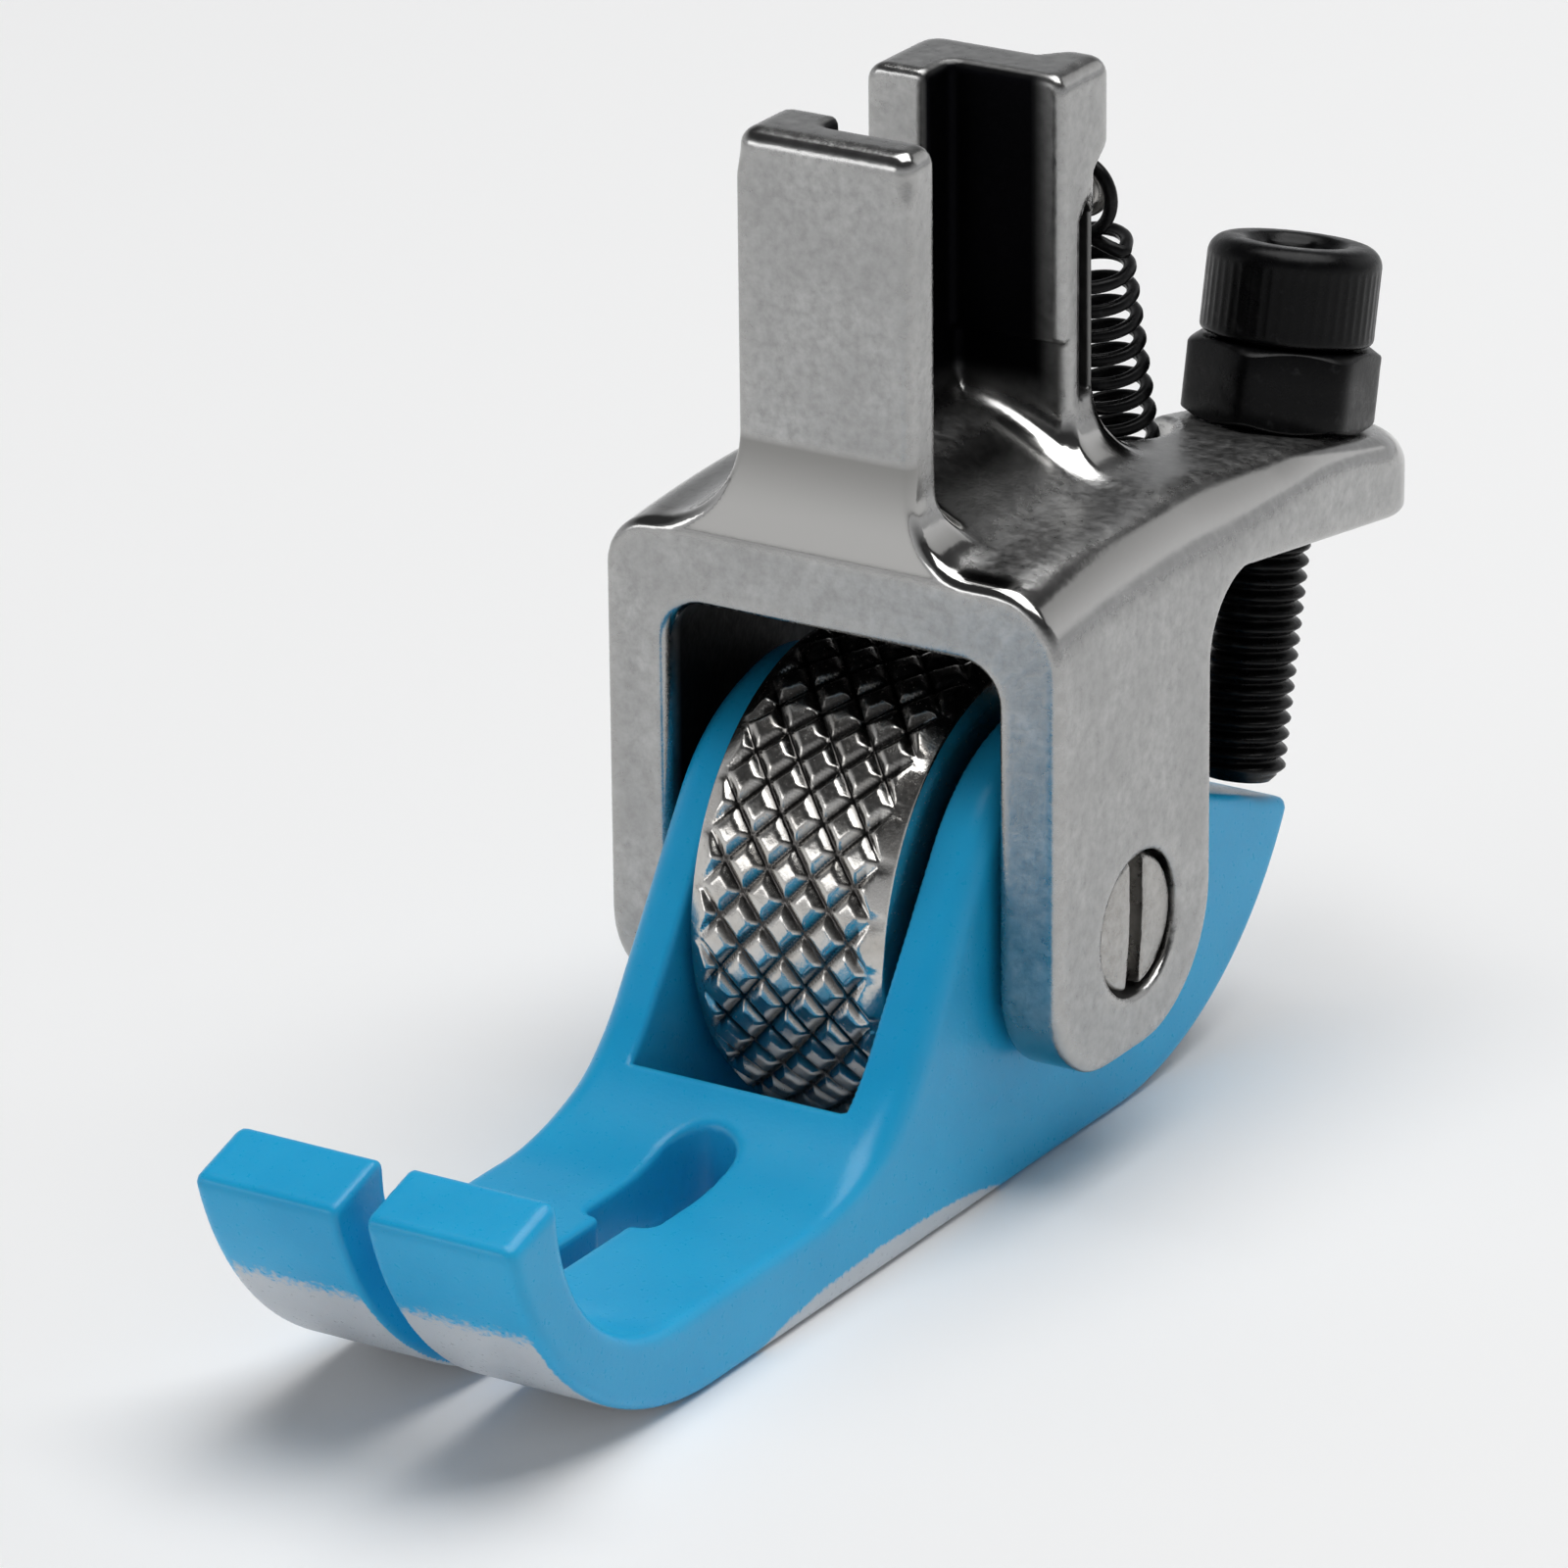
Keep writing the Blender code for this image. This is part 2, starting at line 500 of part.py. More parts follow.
# --- Roller, bush and pivot screw ----------------------------------------------------------------
def make_roller(material):
    bore = SHAFT_RADIUS + GAP + BUSH_WALL + GAP
    half = ROLLER_HALF_WIDTH
    rim = ROLLER_RADIUS - ROLLER_CHAMFER_DEPTH
    tread = half - ROLLER_CHAMFER_WIDTH
    profile = [(bore, -half), (rim, -half), (ROLLER_RADIUS, -tread), (ROLLER_RADIUS, tread),
               (rim, half), (bore, half)]
    roller = lathe("knurled_roller", profile, 56)
    place(roller, Vector((0.0, 0.0, PIVOT_HEIGHT)), Vector((1.0, 0.0, 0.0)))
    finish(roller, material, 20)
    return roller


def make_bush(material):
    inner = SHAFT_RADIUS + GAP
    outer = inner + BUSH_WALL
    half = BUSH_HALF_LENGTH
    bush = lathe("roller_bush", [(inner, -half), (outer, -half), (outer, half), (inner, half)], 32)
    place(bush, Vector((0.0, 0.0, PIVOT_HEIGHT)), Vector((1.0, 0.0, 0.0)))
    finish(bush, material, 30)
    return bush


def make_pivot_screw(material):
    """Shoulder screw; its head stands just inside the counterbore of the right leg."""
    head_top = YOKE_HALF_WIDTH - PIVOT_HEAD_RECESS
    head_bottom = head_top - PIVOT_HEAD_THICKNESS
    edge = PIVOT_EDGE
    thread_start = -LEG_INSIDE + GAP
    end = -YOKE_HALF_WIDTH + PIVOT_HEAD_RECESS
    profile = [(0.0, end), (PIVOT_THREAD_RADIUS - 2 * edge, end), (PIVOT_THREAD_RADIUS, end + 2 * edge),
               (PIVOT_THREAD_RADIUS, thread_start - GAP), (SHAFT_RADIUS, thread_start + GAP),
               (SHAFT_RADIUS, head_bottom), (PIVOT_HEAD_RADIUS, head_bottom),
               (PIVOT_HEAD_RADIUS, head_top - edge), (PIVOT_HEAD_RADIUS - edge, head_top),
               (0.0, head_top)]
    screw = lathe("pivot_screw", profile, 32)
    slot_half = PIVOT_SLOT_WIDTH / 2
    slot = box("pivot_slot", (-OVERSHOOT, -slot_half, head_top - PIVOT_SLOT_DEPTH),
               (OVERSHOOT, slot_half, head_top + OVERSHOOT))
    combine(screw, slot, "DIFFERENCE")
    for piece in (screw, slot):
        place(piece, Vector((0.0, 0.0, PIVOT_HEIGHT)), Vector((1.0, 0.0, 0.0)))
    finish(screw, material, 25)
    return screw


# --- Adjusting screw and nut ---------------------------------------------------------------------
def hexagon(flats, turn):
    corner = flats / math.sqrt(3.0)
    return [(corner * math.cos(turn + k * math.pi / 3), corner * math.sin(turn + k * math.pi / 3))
            for k in range(6)]


def make_adjusting_screw(material):
    """Socket-head screw; its own z = 0 lies on the top of the arm."""
    under_head = SEAT_GAP + NUT_HEIGHT + SEAT_GAP
    top = under_head + HEAD_HEIGHT
    profile = [(0.0, -TIP_DEPTH), (TIP_RADIUS, -TIP_DEPTH), (THREAD_RADIUS, -TIP_DEPTH + TIP_TAPER),
               (THREAD_RADIUS, under_head), (HEAD_RADIUS, under_head), (HEAD_RADIUS, top - HEAD_ROUND)]
    profile += arc((HEAD_RADIUS - HEAD_ROUND, top - HEAD_ROUND), HEAD_ROUND, 30, 90, 2)
    profile.append((0.0, top))
    screw = lathe("adjusting_screw", profile, 32)
    socket = prism("screw_socket", hexagon(SOCKET_FLATS, NUT_TURN), "z", top - SOCKET_DEPTH,
                   top + OVERSHOOT)
    combine(screw, socket, "DIFFERENCE")
    for piece in (screw, socket):
        place(piece, Vector((SCREW_X, SCREW_Y, SCREW_Z)), SCREW_DIRECTION)
    finish(screw, material, 25)
    return screw


def make_lock_nut(material):
    """Hexagon nut with both rims chamfered."""
    bottom = SEAT_GAP
    top = bottom + NUT_HEIGHT
    nut = prism("lock_nut", hexagon(NUT_FLATS, NUT_TURN), "z", bottom, top)
    corner = NUT_FLATS / math.sqrt(3.0)
    rim = NUT_FLATS / 2 - NUT_RIM_STEP
    hole = THREAD_RADIUS + GAP
    outside = corner + 2 * NUT_RIM_STEP
    blank = [(hole, bottom - MM), (rim, bottom - MM), (rim, bottom), (outside, bottom + NUT_CHAMFER),
             (outside, top - NUT_CHAMFER), (rim, top), (rim, top + MM), (hole, top + MM)]
    ring = lathe("nut_blank", blank, 36)
    combine(nut, ring, "INTERSECT")
    for piece in (nut, ring):
        place(piece, Vector((SCREW_X, SCREW_Y, SCREW_Z)), SCREW_DIRECTION)
    finish(nut, material, 20)
    return nut


# --- Spring and its holders ----------------------------------------------------------------------
def post_height():
    """The post stands just under the inner top of the spring's upper loop."""
    return UPPER_LOOP_Z + UPPER_LOOP_RADIUS - WIRE_RADIUS - GAP - POST_RADIUS


def pin_centre():
    """The pin lies just above the inner bottom of the spring's lower loop."""
    loop = spring_axis(LOWER_LOOP_Z)
    return Vector((SPRING_X, loop.y, LOWER_LOOP_Z - COIL_RADIUS + WIRE_RADIUS + GAP + PIN_RADIUS))


def spring_path():
    """Upper loop across X, coils along the leaning axis, lower loop in the plane of the axis."""
    path = []
    loop_y = spring_axis(UPPER_LOOP_Z).y + LOOP_OFFSET
    for i in range(20):
        angle = math.radians(215.0 - 290.0 * i / 19)
        path.append(Vector((SPRING_X + UPPER_LOOP_RADIUS * math.cos(angle), loop_y,
                            UPPER_LOOP_Z + UPPER_LOOP_RADIUS * math.sin(angle))))
    top_z = UPPER_LOOP_Z - UPPER_LOOP_RADIUS - SPRING_PITCH / 2
    bottom_z = LOWER_LOOP_Z + COIL_RADIUS + SPRING_PITCH / 2
    length = (spring_axis(bottom_z) - spring_axis(top_z)).length
    turns = math.floor(length / SPRING_PITCH) + 0.25
    side = Vector((1.0, 0.0, 0.0))
    back = SPRING_DOWN.cross(side)
    per_turn = 11
    steps = round(turns * per_turn)
    for i in range(steps + 1):
        angle = -math.tau * turns * i / steps
        centre = spring_axis(top_z + (bottom_z - top_z) * i / steps)
        path.append(centre + (side * math.cos(angle) + back * math.sin(angle)) * COIL_RADIUS)
    loop = spring_axis(LOWER_LOOP_Z)
    for i in range(17):
        angle = math.radians(60.0 - 290.0 * i / 16)
        path.append(Vector((SPRING_X, loop.y + COIL_RADIUS * math.cos(angle),
                            LOWER_LOOP_Z + COIL_RADIUS * math.sin(angle))))
    return path


def make_spring(material):
    curve = bpy.data.curves.new("tension_spring", "CURVE")
    curve.dimensions = "3D"
    curve.bevel_depth = WIRE_RADIUS
    curve.bevel_resolution = 1
    curve.use_fill_caps = True
    path = spring_path()
    spline = curve.splines.new("POLY")
    spline.points.add(len(path) - 1)
    for point, place_at in zip(spline.points, path):
        point.co = (*place_at, 1.0)
    curve.materials.append(material)
    return add_object("tension_spring", curve)


def make_post(material):
    start = SHANK_REAR - POST_DEPTH
    length = POST_END_Y - start
    shoulder = length - POST_HEAD_THICKNESS
    post = lathe("spring_post", [(0.0, 0.0), (POST_RADIUS, 0.0), (POST_RADIUS, shoulder),
                                 (POST_HEAD_RADIUS, shoulder), (POST_HEAD_RADIUS, length - POST_EDGE),
                                 (POST_HEAD_RADIUS - POST_EDGE, length), (0.0, length)], 16)
    place(post, Vector((SPRING_X, start, post_height())), Vector((0.0, 1.0, 0.0)))
    finish(post, material, 30)
    return post


def make_heel_pin(material):
    pin = lathe("heel_pin", [(0.0, -PIN_HALF_LENGTH), (PIN_RADIUS, -PIN_HALF_LENGTH),
                             (PIN_RADIUS, PIN_HALF_LENGTH), (0.0, PIN_HALF_LENGTH)], 14)
    place(pin, pin_centre(), Vector((1.0, 0.0, 0.0)))
    finish(pin, material, 30)
    return pin


def centre_on_base():
    """Move everything so that the origin is the middle of the bounding box's base."""
    bpy.context.view_layer.update()
    for piece in bpy.data.objects:
        piece.matrix_world = Matrix.Translation((0.0, SHIFT_Y, 0.0)) @ piece.matrix_world


def main():
    clear_scene()
    steel = metal("polished_steel", (0.62, 0.61, 0.60), 0.22, 1.0)
    plastic = metal("blue_plastic", (0.02, 0.26, 0.52), 0.42, 0.0)
    black = metal("black_oxide", (0.018, 0.018, 0.02), 0.38, 0.6)
    bronze = metal("bearing_bronze", (0.55, 0.36, 0.16), 0.35, 1.0)
    make_yoke(steel)
    make_sole(plastic)
    make_roller(steel)
    make_bush(bronze)
    make_pivot_screw(steel)
    make_adjusting_screw(black)
    make_lock_nut(black)
    make_spring(black)
    make_post(steel)
    make_heel_pin(steel)
    centre_on_base()


main()
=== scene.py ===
"""Roller presser foot: fine surfaces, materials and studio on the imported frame.

Lengths are in millimetres, measured from a point on the floor under the pivot axis, until to_world.
The toe points to -Y, the shank's channel opens to +X.
"""
import json
import math

import bpy
import numpy as np
from mathutils import Matrix, Vector


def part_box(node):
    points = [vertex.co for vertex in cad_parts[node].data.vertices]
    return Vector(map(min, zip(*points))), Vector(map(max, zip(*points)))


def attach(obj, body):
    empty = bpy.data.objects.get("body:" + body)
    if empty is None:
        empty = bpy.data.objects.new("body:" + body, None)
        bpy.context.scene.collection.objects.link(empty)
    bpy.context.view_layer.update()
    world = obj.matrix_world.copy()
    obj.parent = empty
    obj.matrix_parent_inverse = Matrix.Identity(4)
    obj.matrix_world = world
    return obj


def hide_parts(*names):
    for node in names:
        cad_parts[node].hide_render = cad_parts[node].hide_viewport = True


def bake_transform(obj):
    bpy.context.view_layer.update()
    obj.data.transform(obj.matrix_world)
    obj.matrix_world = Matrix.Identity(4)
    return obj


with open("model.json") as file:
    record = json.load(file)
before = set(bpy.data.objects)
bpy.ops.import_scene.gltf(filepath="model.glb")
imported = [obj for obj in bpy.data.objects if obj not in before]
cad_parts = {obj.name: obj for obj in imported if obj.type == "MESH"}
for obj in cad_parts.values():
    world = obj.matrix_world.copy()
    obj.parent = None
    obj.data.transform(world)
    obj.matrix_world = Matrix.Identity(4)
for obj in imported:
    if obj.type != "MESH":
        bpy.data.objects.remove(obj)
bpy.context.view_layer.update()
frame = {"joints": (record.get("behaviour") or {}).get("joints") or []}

MM = 0.001
NET_SPACING = 0.15
JOINTS = {joint["name"]: joint for joint in frame["joints"]}
PIVOT = Vector(JOINTS["sole_tilt"]["pos_m"])
ORIGIN = Vector((PIVOT.x, PIVOT.y, 0.0))
PIVOT_Z = PIVOT.z / MM
SCREW_AXIS = Vector(JOINTS["nut_turn"]["axis"])
SCREW_SEAT = (Vector(JOINTS["nut_turn"]["pos_m"]) - ORIGIN) / MM
TILT = math.atan2(SCREW_AXIS.y, SCREW_AXIS.z)

# --- Yoke ----------------------------------------------------------------------------------------
HALF_WIDTH = 7.95
LEG_INSIDE = 5.8
FRONT = -4.84
LEG_REAR = 4.4
LEG_BOTTOM = 3.7
LEG_FRONT_ROUND = 3.2
LEG_REAR_ROUND = 4.3
CEILING = 17.2
CEILING_CORNER = 1.3
SLAB_CORNER = 2.0
SLAB_REAR = 7.2
CREST_Z = 20.06                 # highest level of the yoke's crowned top
CREST_Y = 2.1
CREST_RADIUS = 57.0
CREST_END = (9.0, 12.0)         # the crown turns into the arm's flat slope between these y
ARM_X = 4.4
ARM_NOSE_Y = 15.45              # centre of the arm's round end
ARM_HALF_WIDTH = 3.55
ARM_JOIN_RADIUS = 1.6           # between the arm and the slab, seen from above
ARM_ROOT_Y = 6.4                # the arm's underside rises from the ceiling's level here
ARM_ROOT_RADIUS = 2.4
UNDERSIDE_SLOPE = 0.145
LEFT_ROUND = 1.7                # radius between the top and the left side
RIGHT_ROUND = 2.4
ARM_ROUND = 1.0                 # the same radius at the arm's end
ARM_ROUND_SPAN = (4.0, 14.0)
REAR_EDGE = 0.35
CUT_EDGE = 0.3                  # round the portal, the channel and the screw slot
SHANK_LEFT = -3.3
SHANK_RIGHT = 2.75
CREASE_Z = 19.38                # top of the flat front face
LEDGE_TOP = 19.68
LEDGE_DEPTH = 0.06
FLARE_TOP = 23.1                # where the shank's face becomes straight
FLARE_DEPTH = 0.16
TOP_ROUND = 0.6
LEFT_FILLET = 3.3               # between the shank's left side and the yoke's top
RIGHT_FILLET = 2.1
FRONT_EDGE = 0.3                # radius of the edge between the front face and the sides
SHANK_REAR = 6.46
SHANK_TOP = 32.4
SHANK_RIGHT_CORNER = 0.6
SHANK_LEFT_CORNER = 0.9
LIP_REACH = 0.8                 # how far the lip at the shank's top stands out to the rear
LIP_LEVELS = (28.9, 29.8)       # it grows between these levels
LIP_SIDE = (0.7, 1.6)           # and between these x
CHANNEL_FRONT = -3.07
CHANNEL_REAR = 4.22
CHANNEL_BACK = -1.14
CHANNEL_FLOOR = 21.8            # level at the web; the floor falls towards the open side
CHANNEL_RUN_OUT = 20.0
CHANNEL_FALL = (-0.5, 4.6)      # the floor falls between these x
CHANNEL_CORNER = 0.35
CHANNEL_FLOOR_RADIUS = 1.1
RELIEF_TOP = 24.0
RELIEF_DEPTH = 0.3
SLOT_FRONT = -2.0
SLOT_REAR = 2.79
SLOT_BOTTOM = 23.6
GROOVE = (5.28, 6.22, 22.0, 28.2)   # front, rear, bottom and top
GROOVE_DEPTH = 1.3
GROOVE_ROOF_SLOPE = 1.2
FLAT_BLUR = 10                  # averaging rounds between satin flats and polished rounds
HEAD_RECESS_RADIUS = 2.3
HEAD_RECESS_DEPTH = 1.5
SPRING_HOLE_RADIUS = 2.05
SPRING_HOLE_BOTTOM = 15.2
SPRING_HOLE_TOP = 23.2
SCREW_HOLE_BOTTOM = 14.0

# --- Sole ----------------------------------------------------------------------------------------
SOLE_HALF_WIDTH = 5.45
PLATE_TOP = 2.8
TOE_OUTER = (-20.05, 10.9)      # centre y and radius of the toe's outer curve
TOE_INNER = (-22.07, 6.0)
TOE_BACK_Z = 8.95
TOE_TIP_SLOPE = 0.31
RAMP_START = -15.0
RAMP_RADIUS = 7.4
RAMP_ANGLE = math.radians(55.5)
RAMP_END_Y = RAMP_START + RAMP_RADIUS * math.sin(RAMP_ANGLE)
RAMP_END_Z = PLATE_TOP + RAMP_RADIUS * (1.0 - math.cos(RAMP_ANGLE))
CHEEK_RADIUS = (RAMP_END_Z - PIVOT_Z) * math.cos(RAMP_ANGLE) - RAMP_END_Y * math.sin(RAMP_ANGLE)
HEEL = (3.1, 12.0)              # start y and radius of the heel's underside
HEEL_TOP = (13.8, 6.65)
HEEL_SLOPE = 0.36
SOLE_EDGE = 0.35                # where the lower and upper outlines meet
HEEL_EDGE = 0.3
CHEEK_BLEND = 0.8               # between the cheeks and the heel's top
TOE_EDGE = 0.35                 # where the toe's inner curve ends at its tip
SIDE_EDGE = 0.4
RAMP_EDGE_EXTRA = 0.5           # the sides are rounder along the ramp
WINDOW_EDGE = 0.15
WINDOW_HALF = 3.77
WINDOW_FRONT = -10.2
WINDOW_REAR = 8.4
NEEDLE_HALF = 1.2
NEEDLE_REAR = -11.4
NEEDLE_FRONT = -17.0
TOE_GAP_HALF = 0.5
FORK_HALF = 0.65                # the heel's fork, which holds the spring's lower loop
FORK_START = 9.5
FORK_BOTTOM = 4.25
REFLECTION_MIDDLE = -10.7            # painted floor reflection: the pale patch along the lower edge
REFLECTION_HALF = 6.9
REFLECTION_HEIGHT = 0.9

# --- Roller and pivot ----------------------------------------------------------------------------
ROLLER_RADIUS = 7.8
ROLLER_HALF = 3.4
ROLLER_BORE = 3.2
KNURL_HALF = 2.95
KNURL_END = 2.65                # where the knurl gives way to the smooth rim
KNURL_DEPTH = 0.24
KNURL_REACH = 0.33
KNURL_WIDTH = 1.5
KNURL_COUNT = 28
KNURL_STEPS = 16                # mesh columns for each groove round the roller
TREAD_LEVELS = 81
RIM_DROP = 0.36
RIM_WIDTH = 0.62
RIM_EDGE = 0.12
RING_RADII = (6.0, 6.3)         # extra mesh rings that keep the wheel's flat faces flat in shading
BORE_EDGE = 0.15
PIVOT_HEAD_RADIUS = 2.12
DRIVE_SLOT_HALF = 0.42
PIVOT_SHANK_RADIUS = 1.7
PIVOT_NET_SPACING = 0.08

# --- Adjusting screw, nut, spring ----------------------------------------------------------------
THREAD_RADIUS = 1.5
THREAD_PITCH = 0.5
THREAD_DEPTH = 0.26
TIP_DEPTH = 11.25               # below the arm's top, along the screw's axis
TIP_TAPER = 0.45
HEAD_RADIUS = 2.72
HEAD_BOTTOM = 2.72
HEAD_TOP = 5.75
HEAD_ROUND = 0.62
RIB_COUNT = 48                  # fine ribs round the head
RIB_DEPTH = 0.02
SOCKET_FLATS = 2.5
SOCKET_RADIUS = 1.3
NUT_FLATS = 5.5
NUT_BOTTOM = 0.05
NUT_TOP = 2.6
NUT_TURN = math.radians(6.6)
SCREW_SEGMENTS = 240
NUT_SEGMENTS = 288
WIRE_RADIUS = 0.21
COIL_RADIUS = 1.39
SPRING_X = 0.95
SPRING_TOP_Y = 8.2
SPRING_TOP_Z = 26.5
SPRING_LEAN = math.radians(14.0)
SPRING_BEND_Z = 17.0            # where the arm's hole bends the spring back
SPRING_FOOT_Y = 11.63
SPRING_PITCH = 0.86
LOOP_STEPS = 24                 # key points on each end loop
COIL_STEPS = 20                 # key points on each turn
WIRE_SIDES = 12
UPPER_LOOP_Z = 27.35
UPPER_LOOP_RADIUS = 1.2
UPPER_LOOP_ARC = (215.0, -75.0)     # degrees
UPPER_LOOP_OFFSET = 0.15        # the loop stands this far behind the coils' axis
LOWER_LOOP_Z = 6.1
LOWER_LOOP_ARC = (60.0, -230.0)
PIN_RADIUS = 0.5
PIN_HALF = 2.6
PIN_HOLE_HALF = 2.7
PIN_Z = LOWER_LOOP_Z - COIL_RADIUS + WIRE_RADIUS + PIN_RADIUS + 0.02

# --- Studio (in metres) --------------------------------------------------------------------------
LAMP_TARGET = (0.0, 0.0, 0.012)
FLOOR_REACH = 1.6
FLOOR_DROP = 0.00002            # keeps the floor just below the sole
CAMERA_PLACE = (143.82, -236.43, 120.40)    # millimetres
CAMERA_ANGLES = (32.13, 21.61, -0.62)       # azimuth, elevation and roll in degrees
CAMERA_LENS = 225.0


# --- Placing -------------------------------------------------------------------------------------
def to_world(points):
    """Millimetres from the floor point under the pivot to metres in the frame."""
    return np.asarray(points, float) * MM + np.array(ORIGIN)


def add_piece(name, points, faces, material, body, nodes):
    """Make a smooth mesh piece that stands for CAD nodes and rides on their body."""
    mesh = bpy.data.meshes.new(name)
    mesh.from_pydata(to_world(points).tolist(), [], [list(map(int, face)) for face in faces])
    mesh.shade_smooth()
    mesh.materials.append(material)
    piece = bpy.data.objects.new(name, mesh)
    bpy.context.scene.collection.objects.link(piece)
    if body:
        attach(piece, body)
    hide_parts(*nodes)
    return piece


def blurred(values, faces, rounds):
    """Values per vertex, averaged over the faces round each vertex."""
    corners = faces.ravel()
    count = np.bincount(corners)
    for _ in range(rounds):
        mean = np.repeat(values[faces].mean(axis=1), faces.shape[1])
        values = np.bincount(corners, mean) / count
    return values


def paint(piece, name, values):
    """Store a number per vertex that the material reads."""
    layer = piece.data.attributes.new(name, "FLOAT", "POINT")
    layer.data.foreach_set("value", np.asarray(values, np.float32))


# --- Distance fields -----------------------------------------------------------------------------
def both(a, b, r=0.0):
    """Intersection of two solids, with the edge rounded to radius r."""
    if np.isscalar(r) and r == 0.0:
        return np.maximum(a, b)
    outside = np.sqrt(np.maximum(a + r, 0.0) ** 2 + np.maximum(b + r, 0.0) ** 2)
    return np.minimum(np.maximum(a, b), -r) + outside


def either(a, b, r=0.0):
    """Union of two solids, with the inner corner filled to radius r."""
    return -both(-a, -b, r)


def without(a, b, r=0.0):
    """The first solid less the second, with the new edge rounded to radius r."""
    return both(a, -b, r)


def between(value, low, high, r=0.0):
    """Slab where a value lies between two limits."""
    return both(low - value, value - high, r)


def step(value, start, end):
    """Smooth change from 0 at start to 1 at end."""
    share = np.clip((value - start) / (end - start), 0.0, 1.0)
    return share * share * (3.0 - 2.0 * share)


def grid_crossings(field, axis):
    """Where the surface crosses the grid lines along an axis: index, share and direction."""
    low = np.take(field, range(field.shape[axis] - 1), axis)
    high = np.take(field, range(1, field.shape[axis]), axis)
    index = np.nonzero((low < 0.0) != (high < 0.0))
    a, b = low[index], high[index]
    return np.stack(index, 1), a / (a - b), a < 0.0


def surface_net(field, low, high, spacing):
    """Quads over the zero surface of a field sampled on a regular grid."""
    lines = [np.arange(a, b + spacing, spacing, dtype=np.float32) for a, b in zip(low, high)]
    values = field(lines[0][:, None, None], lines[1][None, :, None], lines[2][None, None, :])
    shape = np.array(values.shape)
    strides = np.array([shape[1] * shape[2], shape[2], 1])
    cells, spots, quads = [], [], []
    for axis in range(3):
        index, share, outward = grid_crossings(values, axis)
        across, up = (axis + 1) % 3, (axis + 2) % 3
        inner = (index[:, across] > 0) & (index[:, up] > 0)
        index, share, outward = index[inner], share[inner], outward[inner]
        spot = index.astype(np.float32)
        spot[:, axis] += share
        base = index @ strides
        corners = np.stack([base - strides[across] - strides[up], base - strides[up], base,
                            base - strides[across]], 1)
        quads.append(np.where(outward[:, None], corners, corners[:, ::-1]))
        cells.append(corners.ravel())
        spots.append(np.repeat(spot, 4, axis=0))
    cells, spots = np.concatenate(cells), np.concatenate(spots)
    used, order = np.unique(cells, return_inverse=True)
    count = np.bincount(order)
    mean = np.stack([np.bincount(order, spots[:, k]) / count for k in range(3)], 1)
    points = mean * spacing + np.array([line[0] for line in lines])
    faces = np.searchsorted(used, np.concatenate(quads))
    return settle(field, points, spacing), faces


def slope_of(field, points):
    """Direction and steepness of the field at points."""
    reach = 0.01
    slope = np.empty_like(points)
    for k in range(3):
        ahead, behind = points.copy(), points.copy()
        ahead[:, k] += reach
        behind[:, k] -= reach
        slope[:, k] = (field(*ahead.T) - field(*behind.T)) / (2.0 * reach)
    return slope


def settle(field, points, spacing):
    """Move points of a rough net onto the field's surface."""
    for _ in range(4):
        slope = slope_of(field, points)
        steep = np.maximum((slope ** 2).sum(1), 0.2)
        move = slope * (field(*points.T) / steep)[:, None]
        length = np.maximum(np.linalg.norm(move, axis=1, keepdims=True), 1e-9)
        points = points - move * np.minimum(1.0, 0.4 * spacing / length)
    return points


# --- Yoke ----------------------------------------------------------------------------------------
def yoke_top(y):
    """Height of the yoke's top: a long crown, then the arm's flat slope under the nut."""
    crown = CREST_Z - (y - CREST_Y) ** 2 / (2.0 * CREST_RADIUS)
    flat = SCREW_SEAT.z + (SCREW_SEAT.y - y) * math.tan(TILT)
    return crown + (flat - crown) * step(y, *CREST_END)


def yoke_plan(x, y):
    """Outline from above: slab with rounded rear corner, and the arm with its round nose."""
    slab = both(y - SLAB_REAR, -HALF_WIDTH - x, SLAB_CORNER)
    nose = np.hypot(x - ARM_X, np.maximum(y - ARM_NOSE_Y, 0.0)) - ARM_HALF_WIDTH
    return either(slab, nose, ARM_JOIN_RADIUS)


def yoke_side(y, z):
    """Rear outline from the side: legs with round feet, blended into the slab and the arm."""
    leg = both(y - LEG_REAR, LEG_BOTTOM - z, LEG_REAR_ROUND)
    underside = CEILING - 0.05 - np.maximum(y - ARM_ROOT_Y, 0.0) * UNDERSIDE_SLOPE
    return either(leg, underside - z, ARM_ROOT_RADIUS)


def front_face(z):
    """Front surface as y: flat to the crease, a leaning ledge, then a hollow flare to the shank's face."""
    ledge = np.clip((z - CREASE_Z) / (LEDGE_TOP - CREASE_Z), 0.0, 1.0)
    flare = np.clip((z - LEDGE_TOP) / (FLARE_TOP - LEDGE_TOP), 0.0, 1.0)
    return FRONT + LEDGE_DEPTH * ledge + FLARE_DEPTH * (1.0 - (1.0 - flare) ** 2)


def spring_axis(z):
    """Centre of the leaning spring at a height, as y; it bends where it passes the arm."""
    bend_y = SPRING_TOP_Y + (SPRING_TOP_Z - SPRING_BEND_Z) * math.tan(SPRING_LEAN)
    upper = SPRING_TOP_Y + (SPRING_TOP_Z - z) * math.tan(SPRING_LEAN)
    share = (SPRING_BEND_Z - z) / (SPRING_BEND_Z - LOWER_LOOP_Z)
    return np.where(z > SPRING_BEND_Z, upper, bend_y + (SPRING_FOOT_Y - bend_y) * share)


